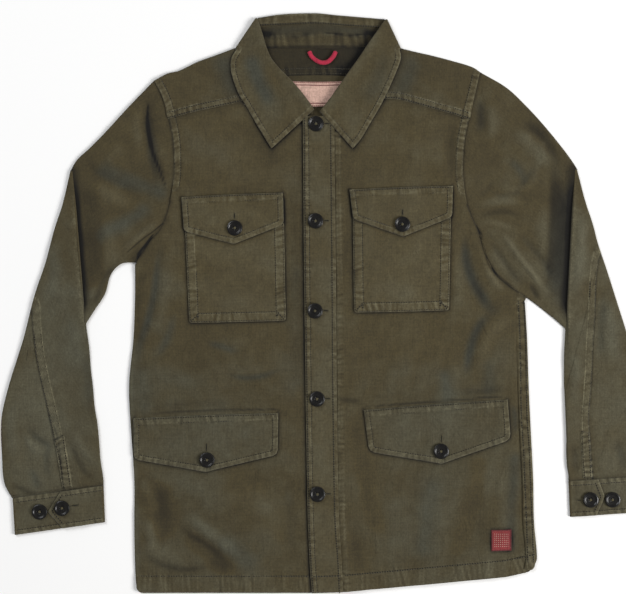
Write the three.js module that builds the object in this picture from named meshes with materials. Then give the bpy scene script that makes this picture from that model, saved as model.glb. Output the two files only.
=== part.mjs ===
// A cotton twill field jacket that lies flat on its back, buttoned, with both sleeves bent at the
// elbow. Millimetres, +Z up. The origin is on the floor under the middle of the chest, on the back
// panel's underside; +X runs to the wearer's left, +Y towards the collar. Right and left are the
// wearer's. Every panel is a wall of cloth round a middle surface, worked out from section tables.

import * as THREE from "three";

// ---------------------------------------------------------------- driving dimensions
const CLOTH = 1.2; // thickness of the twill
const GAP = 0.3; // air between two pieces
const LAYER = CLOTH + GAP; // rise from one layer of cloth to the next
const ON_PANEL = LAYER + 0.1; // rise of a piece that is sewn on a panel
const LOW = CLOTH / 2; // middle height of cloth on the floor
const HIGH = 3.6; // middle height of the upper layer of body and sleeves
const TURN = (HIGH - LOW) / 2; // radius of a turned edge
const TURN_STEPS = 4; // facets round a turned edge
const SEAM = 0.25; // how far each panel stops short of a seam line
const SIDE_TURN = 12; // cloth turned round the body's sides, up to the side seam
const INNER_TURN = 14; // cloth turned round a sleeve's inner edge, up to the inner seam
const MOST_TURNED = 0.35; // largest share of a sleeve's section that is turned under so
const UNDER_LAP = 18; // x of the right front's edge, under the band
const BAND_FADE = 36; // width over which the left front comes down from the band
const COLLAR_FALL = 38; // height of the folded collar at the back
const COLLAR_STRIP = 12.5; // part of the fall that shows inside the neck
const COLLAR_ROLL = 0.8; // radius of the collar's fold line
const CUFF_LAP = 20; // how far the cuff's under end runs on below its tab
const BUTTON_RADIUS = 10.25;
const BUTTON_SIDES = 20;
// Section of a button: shares of its radius, and heights.
const BUTTON_PROFILE = [
  [0, 0], [0.74, 0], [0.96, 0.9], [1, 1.9], [0.93, 3.1], [0.82, 3.1], [0.68, 2.1], [0, 1.8],
];
const LOOP_RADIUS = 2.2;
const LABEL_CLOTH = 0.8; // thickness of the woven labels

// ---------------------------------------------------------------- finishes
const finish = (color, roughness) => new THREE.MeshStandardMaterial({ color, roughness, metalness: 0 });
const TWILL = () => finish(0x5c5540, 0.92);
const HORN = () => finish(0x121110, 0.25);
const LABEL = () => finish(0xd8b6a4, 0.85);
const RED_CLOTH = () => finish(0xa33a3e, 0.85);
const RED_CORD = () => finish(0xb02c48, 0.7);

// ---------------------------------------------------------------- section tables
// Sections across the body from the hem to the armpits: where each meets the right side, the
// centre line and the left side.
const SIDES = [
  { rightX: -241, rightY: -440, centreY: -440, leftX: 288, leftY: -411 },
  { rightX: -243, rightY: -405, centreY: -402, leftX: 291, leftY: -393 },
  { rightX: -244, rightY: -350, centreY: -345, leftX: 287, leftY: -345 },
  { rightX: -244, rightY: -290, centreY: -285, leftX: 286, leftY: -290 },
  { rightX: -248, rightY: -230, centreY: -225, leftX: 283, leftY: -230 },
  { rightX: -251, rightY: -165, centreY: -160, leftX: 280, leftY: -165 },
  { rightX: -245, rightY: -100, centreY: -95, leftX: 278, leftY: -105 },
  { rightX: -243, rightY: -45, centreY: -40, leftX: 276, leftY: -70 },
  { rightX: -243, rightY: -4, centreY: 0, leftX: 274.3, leftY: -46.5 },
];
// Sections from the armpits up both armholes to the shoulders.
const ARMHOLES = [
  { rightX: -243, rightY: 0, centreY: 5, leftX: 274, leftY: -44 },
  { rightX: -233, rightY: 14, centreY: 30, leftX: 250, leftY: -28 },
  { rightX: -222, rightY: 30, centreY: 55, leftX: 228, leftY: -6 },
  { rightX: -208, rightY: 48, centreY: 80, leftX: 217, leftY: 32 },
  { rightX: -197, rightY: 80, centreY: 105, leftX: 199, leftY: 76 },
  { rightX: -192, rightY: 120, centreY: 130, leftX: 193, leftY: 118 },
  { rightX: -193, rightY: 160, centreY: 160, leftX: 195, leftY: 160 },
  { rightX: -200, rightY: 197, centreY: 191, leftX: 202, leftY: 196 },
  { rightX: -207, rightY: 219, centreY: 191, leftX: 208, leftY: 219 },
  { rightX: -218, rightY: 241, centreY: 191, leftX: 216, leftY: 252 },
];
const YOKE_ROW = 7; // where the front yoke seam meets the armholes
const SLEEVE_JOIN = { right: 0, left: 3 }; // where each sleeve's inner edge leaves the armhole
// The front band: its free edge and the seam that joins it to the left front.
const BAND = [
  { y: -440, edge: -8, seam: 34 },
  { y: -400, edge: -11, seam: 32 },
  { y: -340, edge: -13.5, seam: 28 },
  { y: -200, edge: -16, seam: 25.5 },
  { y: 0, edge: -18.5, seam: 24 },
  { y: 194, edge: -20, seam: 22 },
];
// The hem, level on the right and rising towards the left side.
const HEM = [
  { x: 0, y: -440 },
  { x: 34, y: -439 },
  { x: 150, y: -428.5 },
  { x: 250, y: -419 },
  { x: 288, y: -411 },
];
// Sections along each sleeve: outer and inner edge, where the back seam crosses the section
// (as a share of its width from the outer edge, and below zero on the underside), and how far
// the elbow pleat lifts or sinks the cloth. Rows up to the pleat belong to the upper arm.
const SLEEVES = {
  right: [
    { outerX: -218, outerY: 241, innerX: -243, innerY: 0, seam: -0.3, pleat: 0 },
    { outerX: -250, outerY: 208, innerX: -262, innerY: -2, seam: -0.27, pleat: 0 },
    { outerX: -285, outerY: 170, innerX: -276, innerY: -16, seam: -0.24, pleat: 0 },
    { outerX: -305, outerY: 150, innerX: -284, innerY: -42, seam: -0.2, pleat: 0 },
    { outerX: -320, outerY: 136, innerX: -298, innerY: -64, seam: -0.16, pleat: -0.3 },
    { outerX: -328, outerY: 123, innerX: -308.5, innerY: -81, seam: -0.12, pleat: -0.9 },
    { outerX: -329.5, outerY: 119, innerX: -309, innerY: -85, seam: -0.11, pleat: 1.8 },
    { outerX: -340, outerY: 75, innerX: -305, innerY: -115, seam: -0.09, pleat: 1.4 },
    { outerX: -350, outerY: 45, innerX: -303, innerY: -142, seam: -0.06, pleat: 1.0 },
    { outerX: -362, outerY: 0, innerX: -300, innerY: -168, seam: -0.03, pleat: 0.6 },
    { outerX: -377, outerY: -45, innerX: -298, innerY: -192, seam: 0.01, pleat: 0.3 },
    { outerX: -391, outerY: -100, innerX: -294, innerY: -216, seam: 0.22, pleat: 0 },
    { outerX: -401, outerY: -132, innerX: -292, innerY: -236, seam: 0.37, pleat: 0 },
    { outerX: -412, outerY: -168, innerX: -291, innerY: -250, seam: 0.48, pleat: 0 },
    { outerX: -421, outerY: -210, innerX: -290, innerY: -263, seam: 0.56, pleat: 0 },
    { outerX: -420, outerY: -262, innerX: -287, innerY: -283, seam: 0.6, pleat: 0 },
    { outerX: -417, outerY: -294, innerX: -286, innerY: -291, seam: 0.6, pleat: 0 },
    { outerX: -407, outerY: -314, innerX: -286, innerY: -297, seam: 0.58, pleat: 0 },
  ],
  left: [
    { outerX: 216, outerY: 252, innerX: 217, innerY: 32, seam: -0.3, pleat: 0 },
    { outerX: 250, outerY: 232, innerX: 228, innerY: -6, seam: -0.26, pleat: 0 },
    { outerX: 275, outerY: 209, innerX: 250, innerY: -28, seam: -0.23, pleat: 0 },
    { outerX: 300, outerY: 182, innerX: 274, innerY: -44, seam: -0.2, pleat: 0 },
    { outerX: 326, outerY: 150, innerX: 302, innerY: -65, seam: -0.14, pleat: -0.3 },
    { outerX: 343, outerY: 126, innerX: 329, innerY: -88, seam: -0.1, pleat: -0.9 },
    { outerX: 345, outerY: 120, innerX: 329.5, innerY: -92, seam: -0.09, pleat: 1.8 },
    { outerX: 355, outerY: 82, innerX: 328, innerY: -125, seam: -0.05, pleat: 1.4 },
    { outerX: 366, outerY: 48, innerX: 328, innerY: -145, seam: -0.02, pleat: 1.0 },
    { outerX: 372, outerY: 25, innerX: 328, innerY: -160, seam: 0.01, pleat: 0.8 },
    { outerX: 385, outerY: -14, innerX: 329, innerY: -182, seam: 0.36, pleat: 0.4 },
    { outerX: 405, outerY: -77, innerX: 330, innerY: -207, seam: 0.62, pleat: 0 },
    { outerX: 425, outerY: -140, innerX: 331, innerY: -232, seam: 0.72, pleat: 0 },
    { outerX: 446, outerY: -200, innerX: 331, innerY: -254, seam: 0.775, pleat: 0 },
    { outerX: 461, outerY: -248, innerX: 332, innerY: -272, seam: 0.8, pleat: 0 },
    { outerX: 461, outerY: -270, innerX: 334, innerY: -284, seam: 0.81, pleat: 0 },
    { outerX: 454, outerY: -283, innerX: 334, innerY: -291, seam: 0.8, pleat: 0 },
  ],
};
const PLEAT_FADE = 0.3; // share of the width over which the pleat dies out at the outer elbow
// Each cuff: its corners, its tab's corners and tip, as shares of the width, and its buttons.
const CUFFS = {
  right: {
    topOuter: [-406, -314.4], topInner: [-286, -297.5], lowOuter: [-403, -363], lowInner: [-284, -346],
    tab: [0.53, 0.38, 0.53], tabButton: [-340, -327], spareButton: [-370, -332],
  },
  left: {
    topOuter: [454, -283.5], topInner: [334, -291.5], lowOuter: [454, -331], lowInner: [336, -339],
    tab: [0.68, 0.61, 0.71], tabButton: [362, -316], spareButton: [391.5, -316],
  },
};
// The strip that binds each sleeve vent: its four corners.
const VENTS = {
  right: { top: [[-350.5, -236], [-337.5, -230]], low: [[-340, -299], [-327.5, -298]] },
  left: { top: [[349, -225], [361, -227]], low: [[352, -287], [364.5, -286.5]] },
};
// Shoulder fold lines, from the armhole to the neck, and the seams that meet them.
const SHOULDERS = {
  right: [[-218, 241], [-200, 250.5], [-185, 254], [-160, 266], [-135, 275], [-110, 284.5]],
  left: [[216, 252], [205, 259], [175, 268], [150, 274.5], [130, 279], [110, 284]],
};
const YOKE_SEAMS = {
  right: [[-200, 197], [-179, 202.5], [-158, 208], [-131, 213.5], [-105, 219], [-84, 223]],
  left: [[202, 196], [180, 203], [158, 209], [132, 216.5], [106, 223], [84, 224]],
};
const NECKLINES = {
  right: [[-84, 223], [-60, 208], [-34, 200], [-8, 196], [UNDER_LAP, 191]],
  left: [[84, 224], [66, 212], [48, 204], [34, 198], [22, 194]],
};
const NECK_SIDES = {
  right: [[-84, 223], [-93, 243], [-99, 263]],
  left: [[84, 224], [93, 243], [99, 263]],
};
const BACK_YOKE_SEAM = { middle: 250, ends: 219 };
const NECK_SEAM_Y = 283.5;
// The collar's leaves from the front corner to the side of the neck: fold line, cut edge and
// the seam of the stand below.
const COLLAR_LEAVES = {
  right: [
    { foldX: -6, foldY: 202, edgeX: -62, edgeY: 151, seamX: -7, seamY: 197 },
    { foldX: -20, foldY: 221, edgeX: -71, edgeY: 166, seamX: -34, seamY: 201 },
    { foldX: -35, foldY: 239, edgeX: -82, edgeY: 184, seamX: -58, seamY: 209 },
    { foldX: -50, foldY: 254, edgeX: -94, edgeY: 205, seamX: -76, seamY: 219 },
    { foldX: -63, foldY: 270, edgeX: -106, edgeY: 225, seamX: -86, seamY: 229 },
    { foldX: -70, foldY: 286, edgeX: -115, edgeY: 252, seamX: -94, seamY: 246 },
    { foldX: -75, foldY: 303, edgeX: -114, edgeY: 272, seamX: -100, seamY: 266 },
    { foldX: -81.2, foldY: 322.5, edgeX: -105.2, edgeY: 286.7, seamX: -102, seamY: 288.5 },
  ],
  left: [
    { foldX: 3, foldY: 199, edgeX: 46, edgeY: 151, seamX: 12, seamY: 196.5 },
    { foldX: 16, foldY: 215, edgeX: 57, edgeY: 164, seamX: 34, seamY: 200 },
    { foldX: 30, foldY: 235, edgeX: 70, edgeY: 186, seamX: 53, seamY: 208 },
    { foldX: 42, foldY: 252, edgeX: 84, edgeY: 210, seamX: 73, seamY: 218 },
    { foldX: 55, foldY: 270, edgeX: 96, edgeY: 235, seamX: 87, seamY: 231 },
    { foldX: 67, foldY: 288, edgeX: 105, edgeY: 256, seamX: 94, seamY: 246 },
    { foldX: 79, foldY: 305, edgeX: 109, edgeY: 274, seamX: 100, seamY: 266 },
    { foldX: 90, foldY: 321, edgeX: 105.5, edgeY: 286, seamX: 102, seamY: 288.5 },
  ],
};
// The collar's fold line across the back of the neck.
const COLLAR_BACK = [
  { x: -76, y: 325 },
  { x: -50, y: 328 },
  { x: -25, y: 329.5 },
  { x: 0, y: 329.5 },
  { x: 25, y: 327 },
  { x: 50, y: 325 },
  { x: 80, y: 323 },
];
// Pieces sewn flat on the fronts: corners from top right round to top left, with the tip of a
// flap between its lower corners.
const ON_FRONTS = {
  chest_pocket_right: { top: [[-178, 78], [-46, 82]], low: [[-171, -81], [-43, -78]], tip: [-107, -79.5] },
  chest_pocket_left: { top: [[46, 88], [177, 92]], low: [[48, -67], [174, -64]], tip: [111, -66] },
  chest_flap_right: { top: [[-181, 86], [-47, 92]], low: [[-178, 41], [-46, 50]], tip: [-112, 24] },
  chest_flap_left: { top: [[42, 96], [179, 101]], low: [[47, 57], [178, 60]], tip: [113, 34] },
  lower_flap_right: { top: [[-245, -208], [-53, -201]], low: [[-245, -262], [-54, -256]], tip: [-150, -279] },
  lower_flap_left: { top: [[61, -197], [252, -183]], low: [[68, -252], [256, -236]], tip: [164, -268] },
};
// Largest folds: soft ridges (rise above zero) and troughs (below zero) along straight lines.
const FOLDS = [
  { fromX: -210, fromY: 30, toX: -238, toY: -120, width: 16, rise: -0.9 },
  { fromX: -228, fromY: -280, toX: -215, toY: -395, width: 18, rise: -0.9 },
  { fromX: -180, fromY: -355, toX: -120, toY: -402, width: 16, rise: -1.0 },
  { fromX: -178, fromY: -320, toX: -110, toY: -375, width: 22, rise: 1.0 },
  { fromX: 228, fromY: -40, toX: 200, toY: -105, width: 18, rise: -0.9 },
  { fromX: 240, fromY: -70, toX: 222, toY: -150, width: 22, rise: 1.0 },
  { fromX: 212, fromY: 10, toX: 225, toY: -50, width: 14, rise: 0.9 },
  { fromX: -222, fromY: 225, toX: -219, toY: 135, width: 14, rise: -1.1 },
  { fromX: -240, fromY: 190, toX: -250, toY: 60, width: 26, rise: 1.6 },
  { fromX: -308, fromY: 130, toX: -235, toY: 88, width: 14, rise: -0.9 },
  { fromX: -295, fromY: 60, toX: -290, toY: -20, width: 22, rise: 1.0 },
  { fromX: -395, fromY: -215, toX: -355, toY: -245, width: 14, rise: -0.8 },
  { fromX: 213, fromY: 220, toX: 216, toY: 170, width: 14, rise: -1.1 },
  { fromX: 240, fromY: 200, toX: 250, toY: 90, width: 28, rise: 1.6 },
  { fromX: 322, fromY: 100, toX: 322, toY: -50, width: 16, rise: -1.0 },
  { fromX: 245, fromY: 45, toX: 300, toY: -40, width: 14, rise: 1.2 },
  { fromX: 262, fromY: 190, toX: 322, toY: 118, width: 14, rise: -0.9 },
];
// Buttons on the body: the front band's, then the pockets'.
const BODY_BUTTONS = [
  { name: "button_front_1", x: -2.7, y: 183.5 },
  { name: "button_front_2", x: -3.3, y: 54.5 },
  { name: "button_front_3", x: -4, y: -65 },
  { name: "button_front_4", x: -1.3, y: -182 },
  { name: "button_front_5", x: -0.7, y: -308.5 },
  { name: "button_chest_right", x: -110.5, y: 45 },
  { name: "button_chest_left", x: 112, y: 50 },
  { name: "button_lower_right", x: -147.5, y: -263 },
  { name: "button_lower_left", x: 163.5, y: -251.5 },
];
const HANGER_LOOP = [[-12, 280.6], [-8, 273], [2, 266], [12, 266], [20, 273], [24, 280.6]];
const NECK_LABEL = { left: -48, right: 44, low: 208, high: 241 };
const HEM_PATCH = { left: 230, right: 257.5, low: -385, high: -356 };

// ---------------------------------------------------------------- small helpers
const plan = (x, y, z = 0) => new THREE.Vector3(x, y, z);
const toPlan = (points) => points.map(([x, y]) => plan(x, y));
const { lerp, mapLinear, smoothstep, degToRad } = THREE.MathUtils;
const mix = (a, b, t) => a.clone().lerp(b, t);
const smooth = (t) => smoothstep(t, 0, 1);
const shares = (count) => Array.from({ length: count + 1 }, (_, i) => i / count);
const pick = (table, x, y) => table.map((row) => plan(row[x], row[y]));

/** A table's column at a value of its key column, by straight lines between the rows. */
function lookUp(table, key, column, value) {
  const after = table.findIndex((row) => row[key] >= value);
  if (after <= 0) return table[after < 0 ? table.length - 1 : 0][column];
  const [low, high] = [table[after - 1], table[after]];
  return mapLinear(value, low[key], high[key], low[column], high[column]);
}

/** Unit normals in plan, to the left of the way the line runs. */
function normals(line) {
  return line.map((_, i) => {
    const along = line[Math.min(i + 1, line.length - 1)].clone().sub(line[Math.max(i - 1, 0)]);
    return plan(-along.y, along.x).normalize();
  });
}

/** A line moved sideways by a distance, to its left if the distance is above zero. */
function beside(line, distance) {
  const aside = normals(line);
  return line.map((point, i) => point.clone().addScaledVector(aside[i], distance));
}

/** Share of the whole length at each point of a line. */
function lengthShares(line) {
  const lengths = [0];
  for (let i = 1; i < line.length; i += 1) lengths.push(lengths[i - 1] + line[i].distanceTo(line[i - 1]));
  return lengths.map((length) => length / lengths[lengths.length - 1]);
}

/** Grid between four lines: each point blends the two pairs of opposite lines. */
function fill(low, high, left, right) {
  const across = lengthShares(low).map((share, i) => (share + lengthShares(high)[i]) / 2);
  return left.map((start, row) => {
    const v = row / (left.length - 1);
    return low.map((point, column) => {
      const u = across[column];
      const blend = mix(point, high[column], v).add(mix(start, right[row], u));
      const corners = mix(mix(low[0], low[low.length - 1], u), mix(high[0], high[high.length - 1], u), v);
      return blend.sub(corners);
    });
  });
}

/** Same grid with heights from a function of plan position. */
const raise = (grid, height) => grid.map((row) => row.map((p) => plan(p.x, p.y, height(p.x, p.y))));

/** Points over a rounded edge in one section, from one layer to the other. */
function roll(edge, outward, from, to, radius = TURN) {
  return shares(TURN_STEPS).map((share) => {
    const angle = Math.PI * (0.5 - share);
    const point = edge.clone().addScaledVector(outward, radius * (Math.cos(angle) - 1));
    return point.setZ((from + to) / 2 + ((from - to) / 2) * Math.sin(angle));
  });
}

// ---------------------------------------------------------------- walls of cloth
/** A middle surface of four-sided faces, from grids that may share points. */
class Cloth {
  points = [];
  faces = [];
  numbers = new Map();

  number(point) {
    const key = point.toArray().map((value) => Math.round(value * 1e4)).join(" ");
    if (!this.numbers.has(key)) {
      this.numbers.set(key, this.points.length);
      this.points.push(point);
    }
    return this.numbers.get(key);
  }

  /** Adds a grid of rows, each face split along its shorter diagonal; it returns this cloth. */
  add(rows) {
    const numbered = rows.map((row) => row.map((point) => this.number(point)));
    for (let i = 1; i < numbered.length; i += 1) {
      for (let j = 1; j < numbered[i].length; j += 1) {
        const corners = [numbered[i - 1][j - 1], numbered[i - 1][j], numbered[i][j], numbered[i][j - 1]];
        const places = corners.map((number) => this.points[number]);
        const turned = places[1].distanceTo(places[3]) < places[0].distanceTo(places[2]);
        const [a, b, c, d] = turned ? [...corners.slice(1), corners[0]] : corners;
        this.faces.push([a, b, c], [a, c, d]);
      }
    }
    return this;
  }

  /** The closed wall, half its thickness on each side of the middle surface. */
  wall(thickness = CLOTH) {
    const faces = this.faces.filter(([a, b, c]) => a !== b && b !== c && c !== a);
    const aside = this.points.map(() => new THREE.Vector3());
    const edges = new Map();
    for (const face of faces) {
      const [a, b, c] = face.map((number) => this.points[number]);
      const normal = b.clone().sub(a).cross(c.clone().sub(a));
      for (let i = 0; i < 3; i += 1) {
        aside[face[i]].add(normal);
        edges.set(`${face[i]} ${face[(i + 1) % 3]}`, [face[i], face[(i + 1) % 3]]);
      }
    }
    const count = this.points.length;
    aside.forEach((normal) => normal.normalize());
    const corners = [thickness / 2, -thickness / 2].flatMap((distance) =>
      this.points.map((point, i) => point.clone().addScaledVector(aside[i], distance)),
    );
    const triangles = faces.flatMap(([a, b, c]) => [[a, b, c], [a + count, c + count, b + count]]);
    for (const [a, b] of edges.values()) {
      if (!edges.has(`${b} ${a}`)) triangles.push([a, a + count, b + count], [a, b + count, b]);
    }
    const geometry = new THREE.BufferGeometry();
    const values = corners.flatMap((corner) => corner.toArray());
    geometry.setAttribute("position", new THREE.Float32BufferAttribute(values, 3));
    geometry.setIndex(triangles.flat());
    geometry.computeVertexNormals();
    return geometry;
  }
}

const jacket = new THREE.Group();

/** Adds one named piece to the jacket. */
function piece(name, geometry, material = TWILL()) {
  const mesh = new THREE.Mesh(geometry, material);
  mesh.name = name;
  jacket.add(mesh);
  return mesh;
}

// ---------------------------------------------------------------- heights
/** Sum of the folds at a place: each has a bell-shaped section about its line. */
function folds(x, y) {
  return FOLDS.reduce((sum, fold) => {
    const line = new THREE.Line3(plan(fold.fromX, fold.fromY), plan(fold.toX, fold.toY));
    const here = plan(x, y);
    const distance = line.closestPointToPoint(here, true, plan(0, 0)).distanceTo(here);
    return sum + fold.rise * Math.exp(-((distance / fold.width) ** 2));
  }, 0);
}

/** How much the band lifts what is round it: fully on the band, fading into the left front. */
function bandLift(x, y) {
  const seam = lookUp(BAND, "y", "seam", y);
  return LAYER * smooth((seam + BAND_FADE - x) / BAND_FADE);
}

const rightHeight = (x, y) => HIGH + folds(x, y);
const leftHeight = (x, y) => HIGH + folds(x, y) + bandLift(x, y);
const bandHeight = (x, y) => HIGH + folds(x, y) + LAYER;
const leafHeight = (x, y) => HIGH + ON_PANEL + bandLift(x, y) * smooth((x + 60) / 34);

// ---------------------------------------------------------------- body
const SIDE = { right: -1, left: 1 };
const sideLine = (side, top = ARMHOLES.length) =>
  pick([...SIDES, ...ARMHOLES.slice(0, top)], `${side}X`, `${side}Y`);
const centreRows = [...SIDES, ...ARMHOLES.slice(0, YOKE_ROW + 1)].map((row) => row.centreY);
const ARMPIT = SIDES.length; // number of the armpits' row

/** Cloth turned under at a row of the right side, running out towards the armpit. */
const sideTurn = (row) => 1 + SIDE_TURN * smooth((ARMPIT - 1 - row) / 2);

/** The place on the hem at a distance along X. */
const onHem = (x) => plan(x, x < HEM[0].x ? HEM[0].y : lookUp(HEM, "x", "y", x));

/** Rise of the back yoke seam above its ends, at a share of its length. */
const backYokeBow = (t) => (BACK_YOKE_SEAM.middle - BACK_YOKE_SEAM.ends) * (1 - (2 * t - 1) ** 2);

/** Right front: lies on the back and turns down round the side to the seam underneath. */
function makeFrontRight() {
  const outline = sideLine("right", YOKE_ROW + 1);
  const outward = normals(outline);
  const rows = outline.map((edge, i) => edge.clone().addScaledVector(outward[i], i < ARMPIT ? -TURN : -SEAM));
  const centre = centreRows.map((y) => plan(UNDER_LAP, y));
  const seam = beside(toPlan([...YOKE_SEAMS.right, ...NECKLINES.right.slice(1)]), -SEAM);
  const hem = shares(seam.length - 1).map((t) => mix(rows[0], centre[0], t));
  const top = raise(fill(hem, seam, rows, centre), rightHeight);
  const turned = outline.slice(0, ARMPIT).map((edge, i) => {
    const round = roll(edge, outward[i], top[i][0].z, LOW);
    top[i][0] = round[0];
    return [...round, round[TURN_STEPS].clone().addScaledVector(outward[i], -sideTurn(i))].reverse();
  });
  piece("front_right", new Cloth().add(turned).add(top).wall());
}

/** Left front: from the band to the side seam, which the back reaches round the side. */
function makeFrontLeft() {
  const outline = sideLine("left", YOKE_ROW + 1);
  const near = beside(outline, SEAM);
  const cut = beside(outline, TURN + SIDE_TURN + 2 * SEAM);
  cut[ARMPIT - 1].y += 3 * SEAM; // steps out just above the back's turned side
  const rows = [...cut.slice(0, ARMPIT), ...near.slice(ARMPIT)];
  const band = centreRows.map((y) => plan(lookUp(BAND, "y", "seam", y) + SEAM, y));
  const seam = beside(toPlan([...YOKE_SEAMS.left, ...NECKLINES.left.slice(1)]), SEAM).reverse();
  const hem = shares(seam.length - 1).map((t) => onHem(lerp(band[0].x, rows[0].x, t)));
  const grid = raise(fill(hem, seam, band, rows), leftHeight);
  piece("front_left", new Cloth().add(grid).wall());
}

/** Back: flat on the floor, turned up round the left side and over to the side seam. */
function makeBack() {
  const right = sideLine("right", YOKE_ROW + 2);
  const left = sideLine("left", YOKE_ROW + 2);
  const outRight = normals(right);
  const outLeft = normals(left).map((normal) => normal.negate());
  const rightSide = right.map((edge, i) =>
    edge.clone().addScaledVector(outRight[i], i < ARMPIT ? -(TURN + sideTurn(i) + 2 * SEAM) : -SEAM),
  );
  const leftSide = left.map((edge, i) =>
    edge.clone().addScaledVector(outLeft[i], i < ARMPIT ? -TURN : -SEAM),
  );
  const columns = shares(8);
  const hem = columns.map((t) => onHem(lerp(rightSide[0].x, leftSide[0].x, t)));
  const ends = [rightSide[rightSide.length - 1], leftSide[leftSide.length - 1]];
  const seam = columns.map((t) => mix(...ends, t).add(plan(0, backYokeBow(t) - SEAM)));
  const flat = raise(fill(hem, seam, rightSide, leftSide), () => LOW);
  const turned = left.slice(0, ARMPIT).map((edge, i) => {
    const inner = edge.clone().addScaledVector(outLeft[i], -TURN - SIDE_TURN);
    inner.setZ(leftHeight(inner.x, inner.y));
    const round = roll(edge, outLeft[i], LOW, inner.z);
    flat[i][flat[i].length - 1] = round[0];
    return [...round, inner];
  });
  piece("back", new Cloth().add(flat).add(turned).wall());
}

/** Front band: lies on the right front's edge, and the buttons sit on it. */
function makeBand() {
  const heights = shares(11).map((t) => lerp(BAND[0].y, BAND[BAND.length - 1].y, t));
  const grid = heights.map((y) => {
    const [edge, seam] = ["edge", "seam"].map((column) => lookUp(BAND, "y", column, y));
    return shares(3).map((t) => plan(lerp(edge, seam - SEAM, t), y));
  });
  piece("placket", new Cloth().add(raise(grid, bandHeight)).wall());
}

/** Yoke: a strip on the back with a lobe folded over each shoulder. */
function makeYoke() {
  const lobes = ["right", "left"].map((side) => {
    const edge = toPlan(SHOULDERS[side]);
    const outward = normals(edge).map((normal) => normal.multiplyScalar(-SIDE[side]));
    const rolls = edge.map((point, i) => roll(point, outward[i], rightHeight(point.x, point.y), LOW));
    return { side, rolls };
  });
  const yoke = new Cloth();
  for (const { side, rolls } of lobes) {
    const sign = SIDE[side];
    const top = rolls.map((round) => round[0].clone().setZ(0));
    const low = beside(toPlan(YOKE_SEAMS[side]), -sign * SEAM);
    const arm = beside(pick(ARMHOLES.slice(YOKE_ROW), `${side}X`, `${side}Y`), sign * SEAM);
    const neck = beside(toPlan(NECK_SIDES[side]), sign * SEAM);
    const rows = (line, first, last) => [first, ...line.slice(1, 2), last];
    const outer = rows(arm, low[0], top[0]);
    const inner = rows(neck, low[low.length - 1], top[top.length - 1]);
    const grid = raise(fill(low, top, outer, inner), rightHeight);
    grid[grid.length - 1] = rolls.map((round) => round[0]);
    const ordered = (lines) => (side === "right" ? lines : lines.map((line) => [...line].reverse()));
    yoke.add(ordered(grid));
    yoke.add(ordered(shares(TURN_STEPS).map((_, k) => rolls.map((round) => round[k]))));
  }
  const last = TURN_STEPS;
  const neck = shares(8).slice(1, -1).map((t) => plan(lerp(-104, 104, t), NECK_SEAM_Y, LOW));
  const top = [
    ...lobes[0].rolls.map((round) => round[last]),
    ...neck,
    ...lobes[1].rolls.map((round) => round[last]).reverse(),
  ];
  const ends = ["right", "left"].map((side) => ARMHOLES[YOKE_ROW + 1][`${side}X`] - SIDE[side] * SEAM);
  const low = top.map((_, i) => {
    const t = i / (top.length - 1);
    return plan(lerp(...ends, t), BACK_YOKE_SEAM.ends + backYokeBow(t) + SEAM, LOW);
  });
  yoke.add([top, low.map((point, i) => mix(point, top[i], 0.5)), low]);
  piece("yoke", yoke.wall());
}

// ---------------------------------------------------------------- collar
/** Sections round the folded neck ring: over the right leaf, round the side, across the back. */
function collarSections(outerTop, outerBack) {
  const sections = [];
  const half = (side) => {
    const rows = COLLAR_LEAVES[side];
    const ends = rows[rows.length - 1];
    const along = plan(ends.edgeX - ends.foldX, ends.edgeY - ends.foldY).normalize();
    const outward = plan(SIDE[side] * -along.y, SIDE[side] * along.x);
    const leaf = rows.map((row) => ({ row, angle: 90, outward }));
    const turn = shares(TURN_STEPS).slice(1).map((t) => ({ row: ends, angle: 90 - 180 * t, outward }));
    return [...leaf, ...turn];
  };
  sections.push(...half("right"));
  for (const { x, y } of COLLAR_BACK) {
    const edge = { edgeX: x * 1.12, edgeY: y - COLLAR_FALL };
    const row = { foldX: x, foldY: y, ...edge, seamX: x * 1.1, seamY: NECK_SEAM_Y + 1 };
    sections.push({ row, angle: -90, outward: plan(0, 1), back: true });
  }
  sections.push(...half("left").reverse());
  return sections.map((section) => {
    const turnRadius = (outerTop - outerBack) / 2;
    const radians = degToRad(section.angle);
    const shift = section.outward.clone().multiplyScalar(turnRadius * Math.cos(radians));
    return { ...section, shift, z: (outerTop + outerBack) / 2 + turnRadius * Math.sin(radians) };
  });
}

/** Collar fall: two leaves on the fronts, turned down behind the neck, with a strip inside it. */
function makeCollarFall() {
  const sections = collarSections(HIGH + ON_PANEL, LOW);
  const grid = sections.map(({ row, shift, z, angle }) =>
    shares(4).map((t) => {
      const point = mix(plan(row.foldX, row.foldY), plan(row.edgeX, row.edgeY), t).add(shift);
      return point.setZ(angle === 90 ? leafHeight(point.x, point.y) : z);
    }),
  );
  const strip = [];
  sections.forEach(({ back }, i) => {
    if (!back) return;
    const start = grid[i][0];
    const fold = plan(start.x, start.y + COLLAR_ROLL);
    const round = roll(fold, plan(0, 1), LOW, LOW + ON_PANEL, COLLAR_ROLL);
    grid[i][0] = round[0];
    strip.push([...round, plan(start.x, start.y - COLLAR_STRIP, LOW + ON_PANEL)].reverse());
  });
  piece("collar_fall", new Cloth().add(grid).add(strip).wall());
}

/** Collar stand: under the leaves in front, and open to view across the back of the neck. */
function makeCollarStand() {
  const sections = collarSections(HIGH, LOW + ON_PANEL);
  const grid = sections.map(({ row, shift, z, back }) => {
    const fold = plan(row.foldX, row.foldY);
    const seam = plan(row.seamX, row.seamY);
    const share = (back ? COLLAR_STRIP + 2 * SEAM : 2) / fold.distanceTo(seam);
    return shares(2).map((t) => mix(fold, seam, share + (1 - share) * t).add(shift).setZ(z));
  });
  piece("collar_stand", new Cloth().add(grid).wall());
}

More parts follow.
